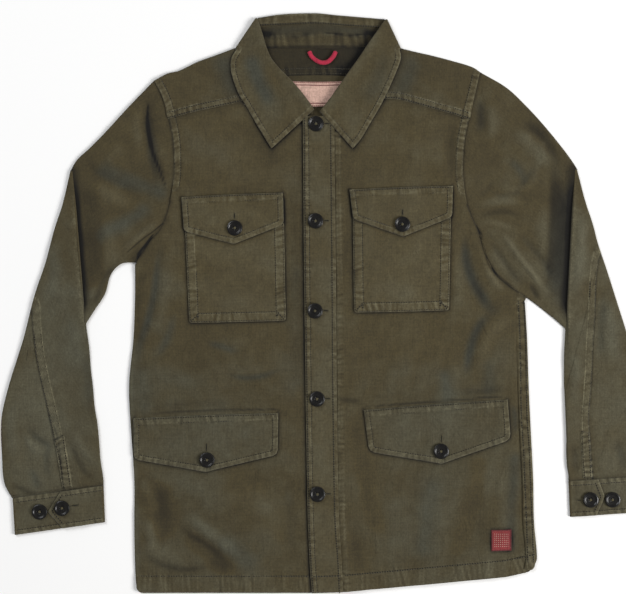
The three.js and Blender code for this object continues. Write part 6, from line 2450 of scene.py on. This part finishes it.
@dataclass
class Cuff:
    """A cuff wound once round the wrist, with a pointed tab buttoned over its own under end."""

    side: Side
    dyes: Dyes
    top_outer: Point
    top_inner: Point
    low_outer: Point
    low_inner: Point
    tab: tuple[float, float, float]  # shares of the width at the tab's top, tip and bottom
    button: Point
    spare: Point
    hole: tuple[Point, Point]
    vent_top: tuple[Point, Point]
    vent_low: tuple[Point, Point]
    edge_stitch: float = 5.5
    lap: float = 20.0  # of the tab over the under end
    depth: float = 48.0
    vent_size: tuple[float, float] = (13.0, 66.0)

    def relief(self, rise: float) -> Relief:
        """The cuff's upper layer: stitched and puckered along both long edges.

        Args:
            rise: its height above the panel's upper layer.

        Returns:
            The relief.
        """
        top, low = [self.top_outer, self.top_inner], [self.low_inner, self.low_outer]
        stitch = self.side.sign * self.edge_stitch
        terms: list[Term] = [
            Wrinkles(0.12, 41 + self.side.sign),
            Seam(top, 0.0, stitch, 0.2, (stitch,), 0.26, 8.0, 0.5, 0.6),
            Seam(low, 0.0, stitch, 0.2, (stitch,), 0.26, 8.0, 0.5, 0.8),
            Tint(top, 200, 0.2, 0.4),
        ]
        return Relief(HIGH + rise, terms)

    def tip(self, v: Array) -> Array:
        """Share of the width where the tab ends, at shares of the cuff's depth."""
        return np.interp(v, [0, 0.5, 1], self.tab)

    def make(self) -> None:
        """Makes the cuff, its stitches, its buttonhole and its two buttons."""
        v = ticks(self.depth, 1.3, 1.0, 6.0, 6.0)
        ends = self.top_outer, self.low_outer, self.top_inner, self.low_inner
        corners = [np.array(p, float) for p in ends]
        outer = corners[0] + (corners[1] - corners[0]) * v[:, None]
        inner = corners[2] + (corners[3] - corners[2]) * v[:, None]
        across = inner - outer
        wide = np.linalg.norm(across, axis=1)
        across /= wide[:, None]
        under_end = max(self.tab) * wide + self.lap
        way = across.mean(axis=0)

        def come_down(places: Array) -> Array:
            """How far the tab's layer sinks where there is no under end below it."""
            beyond = (places - corners[0]) @ way - under_end.mean()
            return -ON_PANEL * smooth((beyond - 1) / 12)

        flat = self.relief(0.0)
        raised = Relief(flat.base + ON_PANEL, flat.terms, come_down)

        def at(distance: Array, relief: Relief) -> tuple[Array, Array]:
            """A layer at distances from the outer edge, one row for each place down the cuff."""
            return relief.over(outer[:, None] + across[:, None] * distance[..., None])

        t = np.linspace(0, 1, 56)[None, :]
        start, start_marks = at(under_end[:, None] + (TURN - under_end[:, None]) * t, flat)
        outside = rolled(start[:, -1], -across, LOW)
        over_t = np.linspace(0, 1, 64)[None, :]
        over_start = wide[:, None] - TURN
        tip = self.tip(v)[:, None] * wide[:, None]
        distance = over_start + (tip - over_start) * over_t
        over, over_marks = at(distance, raised)
        free = distance - tip
        over[..., 2] -= worn(free, 0.8, 2.4)
        over_marks[..., 2] += 0.5 * np.exp(-((free / 2.0) ** 2))
        inside = rolled(over[:, 0], across, LOW)[:, ::-1]
        between = outside[:, -1:] + (inside[:, :1] - outside[:, -1:]) * np.linspace(0, 1, 8)[None, :, None]
        for grid in (start, over):
            grid[..., 2] -= worn(np.minimum(v, 1 - v)[:, None] * self.depth, 0.7, 2.2)
        from_tip = np.abs(under_end[:, None] * (1 - t) + TURN * t - tip)
        # Painted shadow on the under end beside the tab's edge.
        start_marks[..., 0] -= 0.6 * np.exp(-from_tip / 2.2)
        name = f"{self.side.value}_cuff"
        cloth = Cloth(name).add(start, start_marks).add(outside).add(between).add(inside)
        cloth.add(over, over_marks)
        cuff = settle(cloth.make(self.dyes.twill), "twill", f"cuff_{self.side.value}")
        thread = Thread(name + "_stitches")
        tip_v = np.linspace(0.1, 0.9, 33)
        tip_line = corners[0] + (corners[1] - corners[0]) * tip_v[:, None]
        far = corners[2] + (corners[3] - corners[2]) * tip_v[:, None]
        tip_line = tip_line + (far - tip_line) * (self.tip(tip_v)[:, None] + self.edge_stitch / wide.mean())
        thread.row(tip_line, raised)
        down = corners[1] - corners[0]
        for a, b, share, inward in ((corners[0], corners[2], self.tab[0], down),
                                    (corners[1], corners[3], self.tab[2], -down)):
            inward = inward / np.linalg.norm(inward) * self.edge_stitch
            for first, last, layer in ((0.03, share - 0.01, flat), (share + 0.05, 0.98, raised)):
                thread.row(a + (b - a) * np.linspace(first, last, 24)[:, None] + inward, layer)
        stitches = settle(thread.make(self.dyes.sewing), "twill")
        opening = Buttonhole(name + "_buttonhole", self.dyes).make(self.hole, raised)
        side = self.side.value
        Button(f"button_cuff_{side}_tab", self.button, self.dyes).make()
        Button(f"button_cuff_{side}_spare", self.spare, self.dyes).make()

    def make_vent(self, ground: Relief) -> None:
        """Makes the strip that binds the sleeve's opening above the cuff.

        Args:
            ground: the sleeve's relief.
        """
        wide, high = self.vent_size
        v, u = ticks(high, 1.6, 1.2, 4.0, 4.0), ticks(wide, 1.1, 0.9, 2.0, 2.0)
        low, top = np.array(self.vent_low, float), np.array(self.vent_top, float)
        rows = low[None] + (top - low)[None] * v[:, None, None]
        plan = rows[:, :1] + (rows[:, 1:] - rows[:, :1]) * u[None, :, None]
        outline = [self.vent_top[0], self.vent_low[0]], [self.vent_low[1], self.vent_top[1]]
        seams = [Seam(line, 0.0, 2.0, 0.1, (2.0,), 0.2, 7.0, 0.5, 0.7) for line in outline]
        relief = ground.raised(ON_PANEL, seams)
        grid, marks = relief.over(plan)
        margin = np.minimum(np.minimum(u, 1 - u)[None, :] * wide, (1 - v)[:, None] * high)
        grid[..., 2] -= worn(margin, 0.8, 2.0)
        name = f"{self.side.value}_vent"
        cloth = Cloth(name).add(grid, marks).make(self.dyes.twill)
        vent = settle(cloth, "twill", f"sleeve_vent_{self.side.value}")
        thread = Thread(name + "_stitches")
        for line in outline:
            thread.row(beside(Path(line).dense(2.0), 2.0), relief)
        (ax, ay), (bx, by) = self.vent_top
        thread.bars((ax + 2, ay - 6), (bx - 2, by - 6), relief, 0.1)
        stitches = settle(thread.make(self.dyes.sewing), "twill")


@dataclass
class Button:
    """A four-hole button, dished inside a raised rim, sewn on with crossed thread."""

    node: str
    place: Point
    dyes: Dyes
    radius: float = 10.25
    rim: float = 3.1
    dish: float = 1.7
    hole: float = 1.05
    hole_offset: float = 2.1
    pit: float = 1.3  # depth of the holes
    turn: float = 0.4
    around: int = 48  # points round each ring

    def lathe(self, radius: Array, height: Array) -> Array:
        """Rings of a turned profile.

        Args:
            radius: the profile's distances from the axis.
            height: its heights.

        Returns:
            Rings by points by three.
        """
        angle = np.linspace(0, 2 * math.pi, self.around + 1)[:-1]
        heights = np.repeat(height[:, None], self.around, 1)
        return np.stack([radius[:, None] * np.cos(angle), radius[:, None] * np.sin(angle), heights], -1)

    def make(self) -> None:
        """Makes the button where its solid is, with its thread.

        The top is a height over polar places: the rim's rounded ring, a shallow dish, and four
        pits; the underside and edge are one more profile.
        """
        x, y = self.place
        low, _ = (np.array(corner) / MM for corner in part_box(self.node))
        base = float(low[2])
        dished, sloping = np.linspace(0.5, 4.6, 16), np.linspace(5.1, 6.9, 5)
        r = np.concatenate([[0.01], dished, sloping, [7.5, 8.0, 8.5, 9.0, 9.5]])
        ring = np.exp(-(((r - 8.7) / 1.25) ** 2))
        z = self.dish + (self.rim - self.dish) * ring + 0.18 * (r / 7.0) ** 2 * (r < 7.5)
        top = self.lathe(r, z)
        for k in range(4):
            a = self.turn + math.pi / 4 + k * math.pi / 2
            hole = np.array([math.cos(a), math.sin(a)]) * self.hole_offset
            d = np.hypot(top[..., 0] - hole[0], top[..., 1] - hole[1])
            top[..., 2] -= self.pit * smooth((self.hole + 0.25 - d) / 0.5)
        side = ((9.95, 2.75), (self.radius, 2.2), (self.radius, 1.6), (9.9, 0.8), (8.2, 0.15), (4.0, 0.0))
        rings = np.concatenate([top, self.lathe(*np.array(side).T)])
        count = len(rings)
        places = np.concatenate([rings.reshape(-1, 3), [[0, 0, 0]]]) + [x, y, base]
        n = self.around
        i, j = np.meshgrid(np.arange(count - 1), np.arange(n), indexing="ij")
        k = (j + 1) % n
        quads = np.stack([i * n + j, (i + 1) * n + j, (i + 1) * n + k, i * n + k], -1).reshape(-1, 4)
        last = (count - 1) * n
        a = np.arange(n)
        cap = np.stack([last + a, np.full(n, count * n), last + (a + 1) % n], -1)
        faces = [*quads.tolist(), *cap.tolist()]
        mesh = bpy.data.meshes.new(self.node.replace("button_", "", 1) + "_button")
        mesh.from_pydata((places * MM).tolist(), [], faces)
        weld(mesh)
        button = settle(add_object(mesh, self.dyes.horn), "button", self.node)
        thread = Thread(button.name + "_thread", long=4.6, wide=1.0)
        for shift in (-0.5, 0.5):
            for k in range(2):
                a = self.turn + math.pi / 4 + k * math.pi / 2
                way = np.array([[math.cos(a), math.sin(a)]])
                here = np.array([[x, y]]) + quarter(way) * shift * 0.8
                thread.beads(here, way, base + self.dish - CLOTH / 2, 0.25)
        settle(thread.make(self.dyes.sewing), "twill")


# ------------------------------------------------------------------ neck label, loop and hem patch


@dataclass
class Trim:
    """The woven label and the cord loop inside the neck, and the patch on the hem."""

    dyes: Dyes
    label: tuple[float, float, float, float] = (-48.0, 44.0, 208.0, 241.0)
    patch: tuple[float, float, float, float] = (230.5, 257.0, -384.5, -356.5)
    label_cloth: float = 0.8
    cord: float = 2.2
    cord_spread: float = 1.4  # the cord lies flattened, wider than it is high

    def rectangle(self, name: str, box: tuple[float, float, float, float], relief: Relief, sag: float,
                  material: bpy.types.Material, tilt: float = 0.0) -> bpy.types.Object:
        """A flat label on a relief, its corners slightly lifted and its edge darker.

        Args:
            name: its name.
            box: its left, right, low and high edges.
            relief: what it lies on.
            sag: how far its middle hangs down, in plan.
            material: its finish.
            tilt: its slope in plan.

        Returns:
            The object.
        """
        left, right, low, high = box
        u, v = ticks(right - left, 1.2, 0.8, 3, 3), ticks(high - low, 1.2, 0.8, 3, 3)
        x = left + (right - left) * u[None, :] + np.zeros((len(v), 1))
        y = low + (high - low) * v[:, None] + tilt * (x - left)
        y = y - sag * np.sin(math.pi * u)[None, :]
        grid, marks = relief.over(np.dstack([x, y]))
        across, up = np.minimum(u, 1 - u)[None, :], np.minimum(v, 1 - v)[:, None]
        margin = np.minimum(across * (right - left), up * (high - low))
        grid[..., 2] -= worn(margin, 0.35, 1.6)
        marks[..., 0] = -0.35 * np.exp(-margin / 1.0)
        marks[..., 2] = 0.3 * np.exp(-margin / 2.0)
        return Cloth(name, self.label_cloth).add(grid, marks).make(material)

    def frame_rows(self, thread: Thread, box: tuple[float, float, float, float], inset: float, count: int,
                   relief: Relief, sag: float = 0.0, tilt: float = 0.0) -> None:
        """Adds four rows of stitches inside a label's edges, bent as the label is.

        Args:
            thread: the stitches that the rows are added to.
            box: the label's left, right, low and high edges.
            inset: how far inside them the rows run.
            count: points along each row.
            relief: the label's relief.
            sag: how far the label's middle hangs down, in plan.
            tilt: its slope in plan.
        """
        left, right, low, high = box
        x, y = (left + inset, right - inset), (low + inset, high - inset)
        ring = [(x[0], y[0]), (x[1], y[0]), (x[1], y[1]), (x[0], y[1]), (x[0], y[0])]
        for a, b in zip(ring, ring[1:]):
            line = np.linspace(a, b, count)
            across = line[:, 0] - left
            line[:, 1] += tilt * across
            line[:, 1] -= sag * np.sin(math.pi * across / (right - left))
            thread.row(line, relief)

    def make_label(self) -> None:
        """The label, with a plain woven border."""
        sag = 1.2
        relief = Relief(LOW + 1.35, [Wrinkles(0.16, 51), Fold([(-20, 240), (-12, 224), (-14, 208)], 6, 0.35)])
        label = self.rectangle("neck_label_cloth", self.label, relief, sag, self.dyes.label)
        settle(label, "label", "neck_label")
        thread = Thread("neck_label_border", pitch=1.5, long=1.75, wide=0.9)
        self.frame_rows(thread, self.label, 4.5, 60, relief.raised(-0.26), sag=sag)
        border = settle(thread.make(self.dyes.border), "label")
        edge = Thread("neck_label_stitches", pitch=2.6, long=2.0, wide=0.5)
        self.frame_rows(edge, self.label, 1.3, 60, relief.raised(-0.28), sag=sag)
        stitches = settle(edge.make(self.dyes.label), "label")

    def make_patch(self, ground: Relief) -> None:
        """The small patch on the hem, edged with close stitches.

        Args:
            ground: the left front's relief.
        """
        relief = ground.raised(1.05)
        tilt = 0.03
        patch_cloth = self.rectangle("hem_patch_cloth", self.patch, relief, 0.0, self.dyes.red, tilt)
        settle(patch_cloth, "red_cloth", "hem_patch")
        left, right, low, high = self.patch
        thread = Thread("hem_patch_edging", pitch=1.1, long=1.3, wide=1.1)
        self.frame_rows(thread, self.patch, 0.8, 40, relief.raised(-0.2), tilt=tilt)
        edging = settle(thread.make(self.dyes.border), "red_cloth")
        darned = Thread("hem_patch_darning", pitch=2.6, long=1.5, wide=0.8)
        for x in np.linspace(left + 4.5, right - 4.5, 8):
            darned.row(np.linspace((x, low + 5), (x, high - 4), 20), relief.raised(-0.35))
        darned.channels.clear()
        darning = settle(darned.make(self.dyes.label), "red_cloth")

    def make_loop(self) -> None:
        """The hanger loop: a braided cord, three strands winding about its line.

        The section's radius is one, less a little at three grooves that turn with the length.
        """
        line = Path([(-12, 280.6), (-8, 273), (2, 266), (12, 266), (20, 273), (24, 280.6)]).dense(0.7)
        length = run(line)
        normal = left_of(line)
        n = 16  # points round each ring
        angle = np.linspace(0, 2 * math.pi, n + 1)[:-1]
        twist = 2 * math.pi * length[:, None] / 9.0
        groove = 1 - 0.13 * (1 - np.abs(np.cos(1.5 * (angle[None, :] - twist))))
        ends = np.sqrt(np.clip(np.minimum(length, length[-1] - length) / 0.9, 0.02, 1))[:, None]
        radius = self.cord * groove * ends
        plan = line[:, None] + normal[:, None] * (self.cord_spread * radius * np.cos(angle))[..., None]
        z = CLOTH + 0.3 + self.cord + radius * np.sin(angle)
        rings = np.dstack([plan, z])
        count = len(line)
        i, j = np.meshgrid(np.arange(count - 1), np.arange(n), indexing="ij")
        k = (j + 1) % n
        quads = np.stack([i * n + j, i * n + k, (i + 1) * n + k, (i + 1) * n + j], -1).reshape(-1, 4)
        caps = [tuple(range(n))[::-1], tuple(range((count - 1) * n, count * n))]
        mesh = bpy.data.meshes.new("hanger_cord")
        mesh.from_pydata((rings.reshape(-1, 3) * MM).tolist(), [], [*quads.tolist(), *caps])
        grain = np.dstack([np.repeat(angle[None, :] * self.cord, count, 0), np.repeat(length[:, None], n, 1)])
        corners = np.empty(len(mesh.loops), np.int32)
        mesh.loops.foreach_get("vertex_index", corners)
        lay_out(mesh, grain.reshape(-1, 2)[corners])
        weld(mesh)
        settle(add_object(mesh, self.dyes.cord), "red_cord", "hanger_loop")


# ------------------------------------------------------------------ studio


@dataclass
class Studio:
    """A pale floor, two soft lights and a camera straight above."""

    middle: Point = (-6.65, -46.55)
    view_width: float = 832.6
    lens: float = 85.0
    sensor: float = 36.0
    floor_colour: float = 0.94

    def make_camera(self) -> None:
        """The camera, as high as its lens needs for the view's width."""
        data = bpy.data.cameras.new("camera")
        data.lens, data.sensor_width, data.sensor_fit = self.lens, self.sensor, "HORIZONTAL"
        data.clip_end = 20.0
        camera = bpy.data.objects.new("camera", data)
        height = self.view_width * self.lens / self.sensor + 4.0
        camera.location = Vector((self.middle[0], self.middle[1], height)) * MM
        bpy.context.scene.collection.objects.link(camera)
        bpy.context.scene.camera = camera

    def area(
        self, name: str, place: tuple[float, float, float], size: float, watts: float, warmth: float
    ) -> None:
        """A square soft light that faces the jacket's middle.

        Args:
            name: its name.
            place: where it is, in metres.
            size: its side, in metres.
            watts: its power.
            warmth: how yellow it is; below zero, how blue.
        """
        data = bpy.data.lights.new(name, "AREA")
        data.shape, data.size, data.energy = "SQUARE", size, watts
        data.color = (1.0, 1.0 - 0.03 * warmth, 1.0 - 0.07 * warmth)
        light = bpy.data.objects.new(name, data)
        light.location = place
        target = Vector((self.middle[0] * MM, self.middle[1] * MM, 0.0))
        light.rotation_euler = (target - light.location).to_track_quat("-Z", "Y").to_euler()
        bpy.context.scene.collection.objects.link(light)

    def make(self) -> None:
        """Floor, lights and the even light of the room."""
        self.make_camera()
        mesh = bpy.data.meshes.new("floor")
        size = 6.0
        square = [(-size, -size, 0), (size, -size, 0), (size, size, 0), (-size, size, 0)]
        mesh.from_pydata(square, [], [(0, 1, 2, 3)])
        material = bpy.data.materials.new("floor_paper")
        material.use_nodes = True
        shader = material.node_tree.nodes["Principled BSDF"]
        g = Graph(material.node_tree)
        here = g.add("TexCoord").outputs["Object"]
        grain = g.add("TexNoise", {"Vector": here, "Scale": 900.0}).outputs["Fac"]
        tone = self.floor_colour
        colour = g.mix(grain, (tone, tone, tone, 1.0), (tone * 0.99, tone * 0.99, tone * 0.985, 1.0))
        g.give(shader.inputs["Base Color"], colour)
        shader.inputs["Roughness"].default_value = 0.95
        shader.inputs["Specular IOR Level"].default_value = 0.1
        add_object(mesh, material)
        self.area("key", (2.5, -0.7, 1.95), 1.3, 92.0, 0.5)
        self.area("fill", (-1.9, 1.5, 2.3), 1.6, 44.0, -0.6)
        world = bpy.data.worlds.new("room")
        world.use_nodes = True
        world.node_tree.nodes["Background"].inputs[0].default_value = (1.0, 1.0, 1.0, 1.0)
        world.node_tree.nodes["Background"].inputs[1].default_value = 0.34
        bpy.context.scene.world = world
        bpy.context.scene.view_settings.view_transform = "Standard"


# ------------------------------------------------------------------ the jacket

FRONT_BUTTONS: list[Point] = [(-2.7, 183.5), (-3.3, 54.5), (-4, -65), (-1.3, -182), (-0.7, -308.5)]
POCKET_BUTTONS: dict[tuple[str, Side], Point] = {
    ("chest", Side.RIGHT): (-110.5, 45), ("chest", Side.LEFT): (112, 50),
    ("lower", Side.RIGHT): (-147.5, -263), ("lower", Side.LEFT): (163.5, -251.5),
}
CHEST_LAYERS = 2


def make_buttons(dyes: Dyes, band: Relief) -> None:
    """The buttons of the band and the pockets, and the band's buttonholes.

    Args:
        dyes: the materials.
        band: the button band's relief.
    """
    for number, (x, y) in enumerate(FRONT_BUTTONS, 1):
        Button(f"button_front_{number}", (x, y), dyes, turn=0.3 * number).make()
        Buttonhole(f"front_buttonhole_{number}", dyes).make(((x + 11.0, y + 0.4), (x + 18.0, y + 0.2)), band)
    for (kind, side), place in POCKET_BUTTONS.items():
        Button(f"button_{kind}_{side.value}", place, dyes, turn=0.7 * place[1]).make()


def main() -> None:
    """Builds the jacket piece by piece, then the studio."""
    logging.basicConfig(level=logging.INFO, format="%(name)s: %(message)s")
    Studio().make()
    dyes = Dyes.mix()
    body = Body(dyes)
    body.make_back()
    body.make_fronts()
    grounds = {side: body.ground(side) for side in Side}
    body.make_yoke()
    band = body.make_band(grounds[Side.RIGHT])
    Collar(dyes).make()
    holes = {
        ("chest", Side.RIGHT): ((-110.8, 57), (-111.0, 65)),
        ("chest", Side.LEFT): ((112, 62), (112.2, 70)),
        ("lower", Side.RIGHT): ((-148, -251.5), (-148.4, -241)),
        ("lower", Side.LEFT): ((163.8, -240), (164, -230)),
    }
    for side in Side:
        PatchPocket(side, dyes).make(grounds[side])
        Flap("chest_flap", side, dyes).make(grounds[side], CHEST_LAYERS * ON_PANEL, holes["chest", side])
        Flap("lower_flap", side, dyes).make(grounds[side], ON_PANEL, holes["lower", side])
    cuffs = (
        Cuff(Side.RIGHT, dyes, (-406, -314.4), (-286, -297.5), (-403, -363), (-284, -346), (0.53, 0.38, 0.53),
             (-340, -327), (-370, -332), ((-327.5, -324), (-318, -323)),
             ((-350.5, -236), (-337.5, -230)), ((-340, -299), (-327.5, -298))),
        Cuff(Side.LEFT, dyes, (454, -283.5), (334, -291.5), (454, -331), (336, -339), (0.68, 0.61, 0.71),
             (362, -316), (391.5, -316), ((344, -316.5), (350, -316.5)),
             ((349, -225), (361, -227)), ((352, -287), (364.5, -286.5))),
    )
    for cuff in cuffs:
        if cuff.side is Side.RIGHT:
            sleeve = Sleeve(cuff.side, dyes, shade_reach=8.0, facet=(0.22, 40.0))
        else:
            sleeve = Sleeve(cuff.side, dyes, shade_reach=13.0, facet=(0.52, 38.0))
        sleeve.make()
        cuff.make()
        cuff.make_vent(sleeve.relief())
    make_buttons(dyes, band)
    trim = Trim(dyes)
    trim.make_label()
    trim.make_patch(grounds[Side.LEFT])
    trim.make_loop()


if __name__ == "__main__":
    main()
